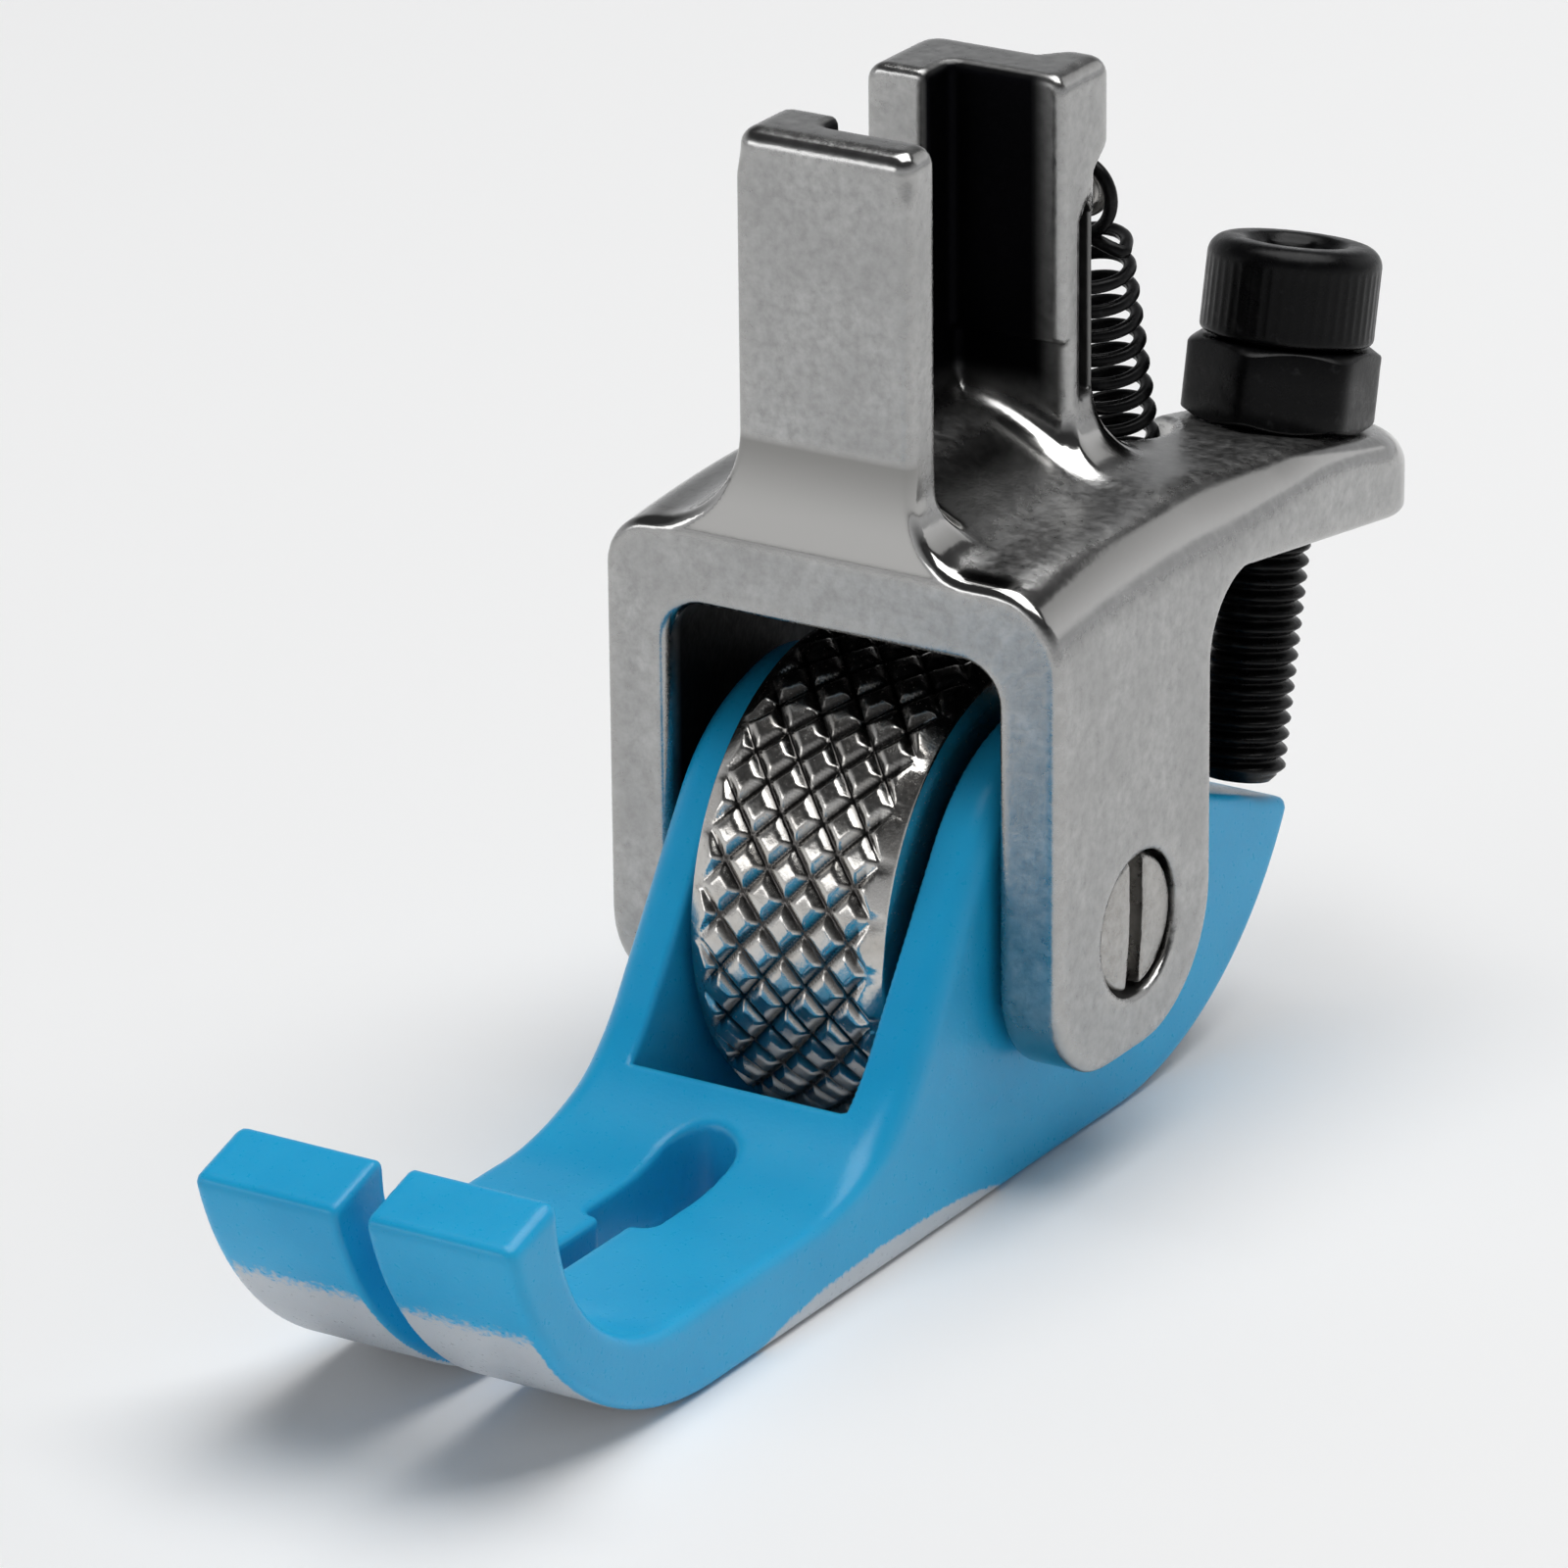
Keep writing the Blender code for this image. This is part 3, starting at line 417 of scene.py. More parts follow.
def shank_field(x, y, z):
    """The upright shank, with a lip at its rear top."""
    left_right = between(x, SHANK_LEFT, SHANK_RIGHT)
    lip = LIP_REACH * step(z, *LIP_LEVELS) * step(x, *LIP_SIDE)
    rear = y - SHANK_REAR - lip
    right_corner = both(x - SHANK_RIGHT, rear, SHANK_RIGHT_CORNER)
    left_corner = both(SHANK_LEFT - x, rear, SHANK_LEFT_CORNER)
    plan = np.maximum(np.maximum(right_corner, left_corner), left_right)
    return both(plan, z - SHANK_TOP, TOP_ROUND)


def channel_field(x, y, z):
    """Space for the presser bar, with a curved floor that runs out to the right."""
    rear = CHANNEL_REAR + RELIEF_DEPTH * step(-z, -RELIEF_TOP - 0.06, -RELIEF_TOP + 0.06)
    walls = between(y, CHANNEL_FRONT, rear)
    floor = CHANNEL_FLOOR - z - (CHANNEL_FLOOR - CHANNEL_RUN_OUT) * step(x, *CHANNEL_FALL)
    return both(both(walls, CHANNEL_BACK - x, CHANNEL_CORNER), floor, CHANNEL_FLOOR_RADIUS)


def slot_field(x, y, z):
    """Open slot for the clamping screw, through the web."""
    radius = (SLOT_REAR - SLOT_FRONT) / 2.0
    centre = (SLOT_REAR + SLOT_FRONT) / 2.0
    across = np.hypot(y - centre, np.minimum(z - SLOT_BOTTOM - radius, 0.0)) - radius
    return both(across, x, 0.0)


def groove_field(x, y, z):
    """Blind groove with a pointed top in the shank's right side."""
    front, rear, bottom, top = GROOVE
    middle, half = (front + rear) / 2.0, (rear - front) / 2.0
    roof = (z - top) + np.abs(y - middle) * GROOVE_ROOF_SLOPE
    space = both(np.abs(y - middle) - half, both(bottom - z, roof, 0.0), 0.1)
    return both(space, SHANK_RIGHT - GROOVE_DEPTH - x, 0.1)


def yoke_field(x, y, z):
    """Signed distance to the polished casting: outer shape first, then its openings and bores."""
    side_round = RIGHT_ROUND + (LEFT_ROUND - RIGHT_ROUND) * step(-x, -2.0, 2.0)
    side_round = side_round + (ARM_ROUND - side_round) * step(y, *ARM_ROUND_SPAN)
    top = (z - yoke_top(y)) * math.cos(TILT * 0.5)
    outline = np.maximum(np.abs(x) - HALF_WIDTH, yoke_plan(x, y))
    body = both(both(outline, top, side_round), yoke_side(y, z), REAR_EDGE)
    left_share = step(-x, -1.0, 2.0)
    fillet = RIGHT_FILLET + (LEFT_FILLET - RIGHT_FILLET) * left_share
    front = both(front_face(z) - y, LEG_BOTTOM - z, LEG_FRONT_ROUND)
    edge = FRONT_EDGE + (TOP_ROUND - FRONT_EDGE) * step(z, 30.8, 31.8)
    solid = both(either(body, shank_field(x, y, z), fillet), front, edge)
    opening = both(np.abs(x) - LEG_INSIDE, z - CEILING, CEILING_CORNER)
    solid = without(solid, opening, CUT_EDGE)
    solid = without(solid, channel_field(x, y, z), CUT_EDGE)
    solid = without(solid, slot_field(x, y, z), CUT_EDGE)
    solid = without(solid, groove_field(x, y, z), 0.12)
    axis_y = spring_axis(z)
    hole = np.hypot(x - SPRING_X, y - axis_y) - SPRING_HOLE_RADIUS
    hole = both(hole, between(z, SPRING_HOLE_BOTTOM, SPRING_HOLE_TOP), 0.0)
    solid = without(solid, hole, 0.25)
    bore = np.hypot(y, z - PIVOT_Z)
    recess = both(bore - HEAD_RECESS_RADIUS, HALF_WIDTH - HEAD_RECESS_DEPTH - x, 0.0)
    solid = without(solid, recess, 0.1)
    solid = without(solid, both(bore - PIVOT_SHANK_RADIUS - 0.1, -x - HALF_WIDTH - 1.0, 0.0), 0.08)
    across = np.hypot(x - SCREW_SEAT.x, (y - SCREW_SEAT.y) * SCREW_AXIS.z
                      - (z - SCREW_SEAT.z) * SCREW_AXIS.y)
    return without(solid, both(across - THREAD_RADIUS - 0.05, SCREW_HOLE_BOTTOM - z, 0.0), 0.1)


def make_yoke(material):
    """The casting, with its satin and polished areas marked, and its painted shade: black in the hollows,
    darker towards the top of the flare.
    """
    low = (-HALF_WIDTH - 0.4, FRONT - 0.4, LEG_BOTTOM - 0.4)
    high = (HALF_WIDTH + 0.4, ARM_NOSE_Y + ARM_HALF_WIDTH + 0.5, SHANK_TOP + 0.4)
    points, faces = surface_net(yoke_field, low, high, NET_SPACING)
    piece = add_piece("yoke_casting", points, faces, material, "yoke", ["yoke"])
    x, y, z = points.T
    # painted shade: the channel, groove and portal hollows are coloured black
    paint(piece, "hollow_shade", hollow_shade_share(x, y, z))
    flare = step(z, CREASE_Z - 0.1, CREASE_Z + 0.2) * step(-z, -FLARE_TOP, 0.4 - FLARE_TOP)
    flare = flare * step(-y, 3.6, 4.2)
    # painted shade: this share darkens the flare's colour towards its top
    paint(piece, "flare", flare * step(z, CREASE_Z + 1.0, FLARE_TOP))
    paint(piece, "flat", flat_share(points, faces) * (1.0 - flare))
    return piece


def hollow_shade_share(x, y, z):
    """Painted shade: 1 on the inner faces of the channel, the groove and the portal, which are coloured
    black, otherwise 0.
    """
    inside = channel_field(x, y, z)
    depth = step(-inside, -0.35, -0.05) * step(-x, -SHANK_RIGHT, -SHANK_RIGHT + 1.1)
    channel = depth * step(z, 21.2, 23.0)
    groove = step(-groove_field(x, y, z), -0.1, 0.05)
    portal = step(-np.abs(x), -LEG_INSIDE - 0.12, -LEG_INSIDE - 0.03)
    portal = portal * step(-z, -CEILING - 0.1, -CEILING - 0.02)
    portal = portal * step(z, 5.0, 9.5) * step(y, FRONT + 0.3, FRONT + 0.9)
    return np.maximum(np.maximum(channel, groove), portal)


def flat_share(points, faces):
    """1 where the casting's surface is square to an axis, 0 on its rounds, softly blended."""
    slope = slope_of(yoke_field, points)
    slope /= np.maximum(np.linalg.norm(slope, axis=1, keepdims=True), 1e-6)
    return blurred(step(np.max(np.abs(slope), axis=1), 0.84, 0.985), faces, FLAT_BLUR)


# --- Sole ----------------------------------------------------------------------------------------
def sole_profile(y, z):
    """Side outline: upturned toe, flat bottom, curved heel, ramp and round cheeks."""
    toe_y, toe_r = TOE_OUTER
    heel_y, heel_r = HEEL
    lower = np.where(y < toe_y, np.hypot(y - toe_y, z - toe_r) - toe_r,
                     np.where(y > heel_y, np.hypot(y - heel_y, z - heel_r) - heel_r, -z))
    inner_y, inner_r = TOE_INNER
    inner_z = PLATE_TOP + inner_r
    tip = (z - TOE_BACK_Z - (y - inner_y + inner_r) * TOE_TIP_SLOPE) / math.hypot(1.0, TOE_TIP_SLOPE)
    ramp_z = PLATE_TOP + RAMP_RADIUS
    sine, cosine = math.sin(RAMP_ANGLE), math.cos(RAMP_ANGLE)
    along_y, along_z = y - RAMP_START, ramp_z - z
    ramp_arc = np.hypot(along_y, along_z) - RAMP_RADIUS
    ramp_line = along_y * sine + along_z * cosine - RAMP_RADIUS
    ramp = np.where(along_y * cosine < along_z * sine, ramp_arc, ramp_line)
    toe_side = np.hypot(y - inner_y, np.minimum(z - inner_z, 0.0)) - inner_r
    hollow = np.where(y < inner_y, toe_side, np.where(y > RAMP_START, ramp, PLATE_TOP - z))
    rise = z - PIVOT_Z
    upward = y * cosine + rise * sine
    cheek = np.where(upward > 0.0, np.hypot(y, rise) - CHEEK_RADIUS, -2.0)
    heel = (z - HEEL_TOP[1] - (HEEL_TOP[0] - y) * HEEL_SLOPE) / math.hypot(1.0, HEEL_SLOPE)
    crown = either(cheek, both(heel, -y, 0.0), CHEEK_BLEND)
    crown = np.where(y < RAMP_START, tip, crown)
    outline = both(both(lower, crown, SOLE_EDGE), y - HEEL_TOP[0], HEEL_EDGE)
    return without(outline, hollow, TOE_EDGE * step(-y, 11.0, 14.0))


def needle_slot(x, y):
    """Wide slot for the needle, and the narrow gap from it through the toe."""
    wide = np.hypot(x, np.maximum(y - NEEDLE_REAR + NEEDLE_HALF, 0.0)) - NEEDLE_HALF
    wide = both(wide, NEEDLE_FRONT - y, 0.5)
    narrow = both(np.abs(x) - TOE_GAP_HALF, y - NEEDLE_FRONT - 1.0, 0.0)
    return either(wide, narrow, 0.25)


def sole_field(x, y, z):
    """Signed distance to the moulded sole."""
    width = np.abs(x) - SOLE_HALF_WIDTH
    ramp = step(z, 2.0, 4.0) * step(y, -16.0, -10.0) * (1.0 - step(y, -2.0, 2.0))
    solid = both(sole_profile(y, z), width, SIDE_EDGE + RAMP_EDGE_EXTRA * ramp)
    window = both(np.abs(x) - WINDOW_HALF, between(y, WINDOW_FRONT, WINDOW_REAR), WINDOW_EDGE)
    solid = without(solid, window, WINDOW_EDGE)
    solid = without(solid, needle_slot(x, y), 0.18)
    solid = without(solid, np.hypot(y, z - PIVOT_Z) - PIVOT_SHANK_RADIUS - 0.15, 0.1)
    fork = both(np.abs(x - SPRING_X) - FORK_HALF, both(FORK_START - y, FORK_BOTTOM - z, 0.6), 0.0)
    solid = without(solid, fork, WINDOW_EDGE)
    pin = np.hypot(y - SPRING_FOOT_Y, z - PIN_Z) - PIN_RADIUS - 0.03
    return without(solid, both(pin, np.abs(x - SPRING_X) - PIN_HOLE_HALF, 0.0), 0.0)


def make_sole(material):
    """The moulding, with its painted floor reflection marked."""
    low = (-SOLE_HALF_WIDTH - 0.4, TOE_OUTER[0] - TOE_OUTER[1] - 0.4, -0.4)
    high = (SOLE_HALF_WIDTH + 0.4, HEEL_TOP[0] + 0.6, PIVOT_Z + CHEEK_RADIUS + 0.6)
    points, faces = surface_net(sole_field, low, high, NET_SPACING)
    piece = add_piece("sole_moulding", points, faces, material, "sole", ["sole"])
    # painted reflection: the floor's light on the lower faces, stored per vertex
    paint(piece, "floor_reflection", floor_reflection_share(points))
    return piece


def floor_reflection_share(points):
    """Painted floor reflection: 1 on the pale underside and the patch along the lower edge, 0 on plain
    plastic.
    """
    x, y, z = points.T
    slope = slope_of(sole_field, points)
    down = -slope[:, 2] / np.maximum(np.linalg.norm(slope, axis=1), 1e-6)
    bow = 1.0 - ((y - REFLECTION_MIDDLE) / REFLECTION_HALF) ** 2
    height = REFLECTION_HEIGHT * np.sqrt(np.clip(bow, 0.0, 1.0)) - 0.05
    side = (height - z) * 1.2 - np.where(np.abs(x) > 4.5, 0.0, 2.0)
    toe_end = (SOLE_HALF_WIDTH - 0.35 - x) * 1.5
    floor_reflection = np.maximum(np.minimum((down - 0.55) * 3.0, toe_end), side)
    return np.clip(floor_reflection + 0.5, 0.0, 1.0)


# --- Turned pieces -------------------------------------------------------------------------------
def turned(profile, segments, shape=None):
    """Rings round +Z from (radius, height) pairs; shape bends a ring's radius and height by angle."""
    angles = np.arange(segments) * math.tau / segments
    points, faces, rings = [], [], []
    for radius, height in profile:
        start = len(points)
        if radius == 0.0:
            points.append((0.0, 0.0, height))
            rings.append(np.full(segments, start))
            continue
        radii, heights = np.full(segments, radius), np.full(segments, height)
        if shape:
            radii, heights = shape(angles, radii, heights)
        points.extend(zip(radii * np.cos(angles), radii * np.sin(angles), heights))
        rings.append(start + np.arange(segments))
    loop = rings if profile[0][0] == 0.0 else rings + rings[:1]
    for lower, upper in zip(loop, loop[1:]):
        for k in range(segments):
            m = (k + 1) % segments
            corners = [lower[k], lower[m], upper[m], upper[k]]
            face = [c for i, c in enumerate(corners) if c not in corners[:i]]
            faces.append(face)
    return np.array(points), faces


def aim(points, base, axis):
    """Turn points from +Z to an axis and move them to a base point."""
    turn = np.array(Vector((0.0, 0.0, 1.0)).rotation_difference(Vector(axis)).to_matrix())
    return points @ turn.T + np.array(base)


def corner(radius, height, size, start, end, steps=4):
    """Quarter-round profile points about an inner centre, angles in degrees."""
    angles = np.radians(np.linspace(start, end, steps + 1))
    return [(radius + size * math.cos(a), height + size * math.sin(a)) for a in angles]


def knurl(x, angle):
    """Depth of the crossed grooves below the roller's outer surface."""
    turn = angle * KNURL_COUNT / math.tau
    length = math.tau * ROLLER_RADIUS / KNURL_COUNT
    apart = KNURL_WIDTH * length / math.hypot(KNURL_WIDTH, length)
    groove = 0.0
    for phase in (turn + x / KNURL_WIDTH, turn - x / KNURL_WIDTH):
        distance = np.abs(phase - np.round(phase)) * apart
        groove = np.maximum(groove, np.clip(1.0 - distance / KNURL_REACH, 0.0, 1.0))
    return KNURL_DEPTH * groove ** 1.5


def make_roller(material):
    """Wheel with a crossed knurl that runs out at chamfered rims."""
    tread = np.linspace(-KNURL_HALF, KNURL_HALF, TREAD_LEVELS)
    rim = ROLLER_RADIUS - RIM_DROP - RIM_EDGE
    profile = [(ROLLER_BORE, -ROLLER_HALF + BORE_EDGE), (ROLLER_BORE + BORE_EDGE, -ROLLER_HALF)]
    profile += [(radius, -ROLLER_HALF) for radius in RING_RADII]
    profile += corner(rim, -ROLLER_HALF + RIM_EDGE, RIM_EDGE, -90, -30)
    profile += [(ROLLER_RADIUS, level) for level in tread]
    profile += corner(rim, ROLLER_HALF - RIM_EDGE, RIM_EDGE, 30, 90)
    profile += [(radius, ROLLER_HALF) for radius in reversed(RING_RADII)]
    profile += [(ROLLER_BORE + BORE_EDGE, ROLLER_HALF), (ROLLER_BORE, ROLLER_HALF - BORE_EDGE)]

    def shape(angles, radii, heights):
        if radii[0] < ROLLER_RADIUS - 0.01:
            return radii, heights
        drop = RIM_DROP * np.clip((np.abs(heights) - KNURL_END) / RIM_WIDTH, 0.0, 1.0) ** 1.3
        return radii - np.maximum(knurl(heights, angles), drop), heights

    points, faces = turned(profile, KNURL_COUNT * KNURL_STEPS, shape)
    radius, level = np.hypot(points[:, 0], points[:, 1]), np.abs(points[:, 2])
    groove = (ROLLER_RADIUS - radius) / KNURL_DEPTH * (level < KNURL_END) * (radius > ROLLER_RADIUS - 0.5)
    points = aim(points, (0.0, 0.0, PIVOT_Z), (1.0, 0.0, 0.0))
    piece = add_piece("knurled_wheel", points, faces, material, "roller", ["knurled_roller"])
    # painted shade: the grooves' depth, which darkens their colour
    paint(piece, "groove", step(groove, 0.1, 0.9))
    return piece


def make_bush(material):
    """Plain sleeve with chamfered ends."""
    inner, outer = PIVOT_SHANK_RADIUS + 0.05, ROLLER_BORE - 0.05
    half, edge = ROLLER_HALF + 0.05, 0.15
    profile = [(inner, -half + edge), (inner + edge, -half), (outer - edge, -half),
               (outer, -half + edge), (outer, half - edge), (outer - edge, half),
               (inner + edge, half), (inner, half - edge)]
    points, faces = turned(profile, 64)
    points = aim(points, (0.0, 0.0, PIVOT_Z), (1.0, 0.0, 0.0))
    return add_piece("bearing_sleeve", points, faces, material, "roller", ["roller_bush"])


def pivot_screw_field(x, y, z):
    """Shoulder screw with a domed, slotted head and a turned end."""
    radius = np.hypot(y, z - PIVOT_Z)
    top = HALF_WIDTH - 0.12 - radius ** 2 * 0.02
    head = both(radius - PIVOT_HEAD_RADIUS, both(x - top, HALF_WIDTH - 1.3 - x, 0.0), 0.15)
    shank = both(radius - PIVOT_SHANK_RADIUS, between(x, -5.7, HALF_WIDTH - 1.0), 0.1)
    end = both(radius - 1.5, between(x, -HALF_WIDTH + 0.15, 0.0), 0.25)
    solid = either(either(head, shank, 0.0), end, 0.0)
    lean = y - (z - PIVOT_Z) * 0.06
    slot = both(np.abs(lean) - DRIVE_SLOT_HALF, HALF_WIDTH - 0.95 - x, 0.05)
    return without(solid, slot, 0.06)


def make_pivot_screw(material):
    """The slotted screw across the legs."""
    reach = PIVOT_HEAD_RADIUS + 0.2
    low = (-HALF_WIDTH, -reach, PIVOT_Z - reach)
    high = (HALF_WIDTH, reach, PIVOT_Z + reach)
    points, faces = surface_net(pivot_screw_field, low, high, PIVOT_NET_SPACING)
    return add_piece("slotted_pivot", points, faces, material, "yoke", ["pivot_screw"])


# --- Adjusting screw and nut ---------------------------------------------------------------------
def hex_radius(angles, flats, turn):
    """Distance from the centre to a sharp hexagon."""
    sector = (angles - turn + math.pi / 6) % (math.pi / 3) - math.pi / 6
    return flats / 2.0 / np.cos(sector)


def rounded_hex(angles, flats, turn, soft):
    """Distance from the centre to a hexagon whose corners are slightly rounded."""
    limit = flats / math.sqrt(3.0) - soft
    sharp = hex_radius(angles, flats, turn)
    return -np.logaddexp(-sharp / (soft * 0.5), -limit / (soft * 0.5)) * soft * 0.5


def thread_profile(height, angle):
    """Height of the thread above its root: a V ridge with a flat crest and a rounded root."""
    phase = (height / THREAD_PITCH - angle / math.tau) % 1.0
    ridge = np.clip(1.0 - np.abs(phase - 0.5) * 2.3, 0.0, 0.86) / 0.86
    return THREAD_DEPTH * (1.0 - (1.0 - ridge) ** 1.2)


def make_adjusting_screw(material):
    """Socket-head screw: threaded shank, ribbed head and hexagon socket."""
    under, top, bottom = HEAD_BOTTOM, HEAD_TOP, -TIP_DEPTH
    profile = [(0.0, bottom), (0.9, bottom)]
    profile += [(THREAD_RADIUS, level) for level in np.arange(bottom + 0.02, under - 0.6, THREAD_PITCH / 10)]
    profile += [(THREAD_RADIUS, under - 0.3), (HEAD_RADIUS - 0.25, under)]
    profile += corner(HEAD_RADIUS - 0.2, under + 0.2, 0.2, -90, 0)
    profile += [(HEAD_RADIUS, level) for level in np.linspace(under + 0.35, top - HEAD_ROUND - 0.1, 6)]
    profile += corner(HEAD_RADIUS - HEAD_ROUND, top - HEAD_ROUND, HEAD_ROUND, 0, 90, 9)
    profile += [(1.72, top), (1.62, top - 0.03), (1.5, top - 0.14), (1.42, top - 0.24)]
    profile += [(SOCKET_RADIUS, top - 0.3), (1.29, top - 1.0), (1.28, top - 1.6), (1.0, top - 1.66)]
    profile += [(0.0, top - 2.0)]

    def shape(angles, radii, heights):
        level, radius = heights[0], radii[0]
        if radius == THREAD_RADIUS and level < under - 0.5:
            taper = TIP_TAPER * np.clip((bottom + 0.5 - level) / 0.5, 0.0, 1.0)
            ridge = thread_profile(heights, angles)
            radii = np.minimum(THREAD_RADIUS - THREAD_DEPTH + ridge, THREAD_RADIUS - taper)
        elif under + 0.3 < level < top - HEAD_ROUND and radius == HEAD_RADIUS:
            radii = radii - RIB_DEPTH * np.abs(np.sin(angles * RIB_COUNT / 2)) ** 0.8
        elif level > under and radius <= SOCKET_RADIUS:
            radii = rounded_hex(angles, SOCKET_FLATS, NUT_TURN, 0.04) * radius / SOCKET_RADIUS
        return radii, heights

    points, faces = turned(profile, SCREW_SEGMENTS, shape)
    points = aim(points, SCREW_SEAT, SCREW_AXIS)
    return add_piece("socket_head_screw", points, faces, material, "adjusting_screw",
                     ["adjusting_screw"])


def make_lock_nut(material):
    """Hexagon nut with chamfered corners."""
    corner_radius = NUT_FLATS / math.sqrt(3.0)
    flat_radius = NUT_FLATS / 2.0 * 0.97
    bottom, top, hole = NUT_BOTTOM, NUT_TOP, THREAD_RADIUS + 0.03
    outer = [(flat_radius, bottom), (corner_radius, bottom + 0.03), (corner_radius, bottom + 0.09),
             (corner_radius, 0.8), (corner_radius, 1.6), (corner_radius, top - 0.09),
             (corner_radius, top - 0.03), (flat_radius, top)]
    profile = [(hole, bottom + 0.3), (hole + 0.3, bottom)] + outer + [(hole + 0.3, top), (hole, top - 0.3)]

    def shape(angles, radii, heights):
        if radii[0] < corner_radius:
            return radii, heights
        wall = rounded_hex(angles, NUT_FLATS, NUT_TURN, 0.12)
        drop = np.maximum(wall - flat_radius, 0.0) * math.tan(math.radians(30.0))
        level = heights[0]
        edge = 0.0
        if level < 0.5:
            heights = bottom + drop + (level - bottom - 0.03)
            edge = 0.03 if level < bottom + 0.05 else 0.0
        elif level > top - 0.5:
            heights = top - drop - (top - 0.03 - level)
            edge = 0.03 if level > top - 0.05 else 0.0
        return wall - edge, heights

    points, faces = turned(profile, NUT_SEGMENTS, shape)
    points = aim(points, SCREW_SEAT, SCREW_AXIS)
    return add_piece("hexagon_nut", points, faces, material, "lock_nut", ["lock_nut"])


# --- Spring and its holders ----------------------------------------------------------------------
def spring_path():
    """Key points of the wire: upper loop, coils, lower loop."""
    lean = np.array((0.0, math.sin(SPRING_LEAN), -math.cos(SPRING_LEAN)))
    side = np.array((1.0, 0.0, 0.0))
    back = np.cross(lean, side)

    def centre(z):
        return np.array((SPRING_X, spring_axis(z), z))

    path = []
    loop_y = spring_axis(UPPER_LOOP_Z) + UPPER_LOOP_OFFSET
    for angle in np.radians(np.linspace(*UPPER_LOOP_ARC, LOOP_STEPS)):
        path.append(np.array((SPRING_X + UPPER_LOOP_RADIUS * math.cos(angle), loop_y,
                              UPPER_LOOP_Z + UPPER_LOOP_RADIUS * math.sin(angle))))
    top_z = UPPER_LOOP_Z - UPPER_LOOP_RADIUS - SPRING_PITCH / 2
    bottom_z = LOWER_LOOP_Z + COIL_RADIUS + SPRING_PITCH / 2
    turns = math.floor(np.linalg.norm(centre(bottom_z) - centre(top_z)) / SPRING_PITCH) + 0.25
    steps = round(turns * COIL_STEPS)
    for i in range(steps + 1):
        angle = -math.tau * turns * i / steps
        offset = (side * math.cos(angle) + back * math.sin(angle)) * COIL_RADIUS
        path.append(centre(top_z + (bottom_z - top_z) * i / steps) + offset)
    middle = centre(LOWER_LOOP_Z)
    for angle in np.radians(np.linspace(*LOWER_LOOP_ARC, LOOP_STEPS)):
        path.append(middle + np.array((0.0, COIL_RADIUS * math.cos(angle), COIL_RADIUS * math.sin(angle))))
    return np.array(path)


def smooth_path(path, parts):
    """Catmull-Rom curve through points."""
    padded = np.vstack([path[:1] * 2 - path[1:2], path, path[-1:] * 2 - path[-2:-1]])
    share = (np.arange(parts) / parts)[None, :, None]
    a, b, c, d = (padded[i:len(padded) - 3 + i][:, None, :] for i in range(4))
    curve = 0.5 * (2 * b + (c - a) * share + (2 * a - 5 * b + 4 * c - d) * share ** 2
                   + (3 * b - a - 3 * c + d) * share ** 3)
    return np.vstack([curve.reshape(-1, 3), path[-1:]])


def swept_tube(path, radius, sides):
    """Round wire along a path, with its ends closed by flat caps."""
    forward = np.gradient(path, axis=0)
    forward /= np.linalg.norm(forward, axis=1, keepdims=True)
    across = np.cross(forward[0], (0.0, 0.0, 1.0))
    across /= np.linalg.norm(across)
    angles = np.arange(sides) * math.tau / sides
    points = []
    for spot, direction in zip(path, forward):
        across = across - direction * across.dot(direction)
        across /= np.linalg.norm(across)
        other = np.cross(direction, across)
        ring = np.outer(np.cos(angles), across) + np.outer(np.sin(angles), other)
        points.append(spot + ring * radius)
    points = np.vstack(points)
    faces = []
    for i in range(len(path) - 1):
        for k in range(sides):
            m = (k + 1) % sides
            faces.append([i * sides + k, i * sides + m, (i + 1) * sides + m, (i + 1) * sides + k])
    faces.append(list(range(sides))[::-1])
    faces.append(list(range(len(points) - sides, len(points))))
    return points, faces


def make_spring(material):
    """Wound wire that stretches between the yoke and the sole."""
    points, faces = swept_tube(smooth_path(spring_path(), 3), WIRE_RADIUS, WIRE_SIDES)
    piece = add_piece("extension_spring", points, faces, material, None, ["tension_spring"])
    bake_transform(piece)
    return piece


def make_post(material):
    """Headed post behind the shank for the spring's upper loop."""
    low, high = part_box("spring_post")
    base = (Vector((low.x + high.x, 2 * low.y, low.z + high.z)) / 2 - ORIGIN) / MM
    length = (high.y - low.y) / MM
    neck = length - 0.4
    profile = [(0.0, 0.0), (0.6, 0.0), (0.6, neck - 0.06), (0.65, neck), (0.77, neck)]
    profile += corner(0.77, neck + 0.08, 0.08, -90, 0) + corner(0.67, length - 0.18, 0.18, 0, 90)
    profile.append((0.0, length))
    points, faces = turned(profile, 48)
    points = aim(points, base, (0.0, 1.0, 0.0))
    return add_piece("hook_post", points, faces, material, "yoke", ["spring_post"])


def make_heel_pin(material):
    """Cross pin in the heel's fork for the spring's lower loop."""
    profile = [(0.0, -PIN_HALF), (PIN_RADIUS - 0.1, -PIN_HALF), (PIN_RADIUS, -PIN_HALF + 0.1),
               (PIN_RADIUS, PIN_HALF - 0.1), (PIN_RADIUS - 0.1, PIN_HALF), (0.0, PIN_HALF)]
    points, faces = turned(profile, 40)
    points = aim(points, (SPRING_X, SPRING_FOOT_Y, PIN_Z), (1.0, 0.0, 0.0))
    return add_piece("hook_pin", points, faces, material, "sole", ["heel_pin"])


# --- Materials -----------------------------------------------------------------------------------
def new_material(name, colour, roughness, metallic):
    """Material with its node tree and its shader."""
    material = bpy.data.materials.new(name)
    material.use_nodes = True
    shader = material.node_tree.nodes["Principled BSDF"]
    shader.inputs["Base Color"].default_value = (*colour, 1.0)
    shader.inputs["Roughness"].default_value = roughness
    shader.inputs["Metallic"].default_value = metallic
    return material, material.node_tree, shader


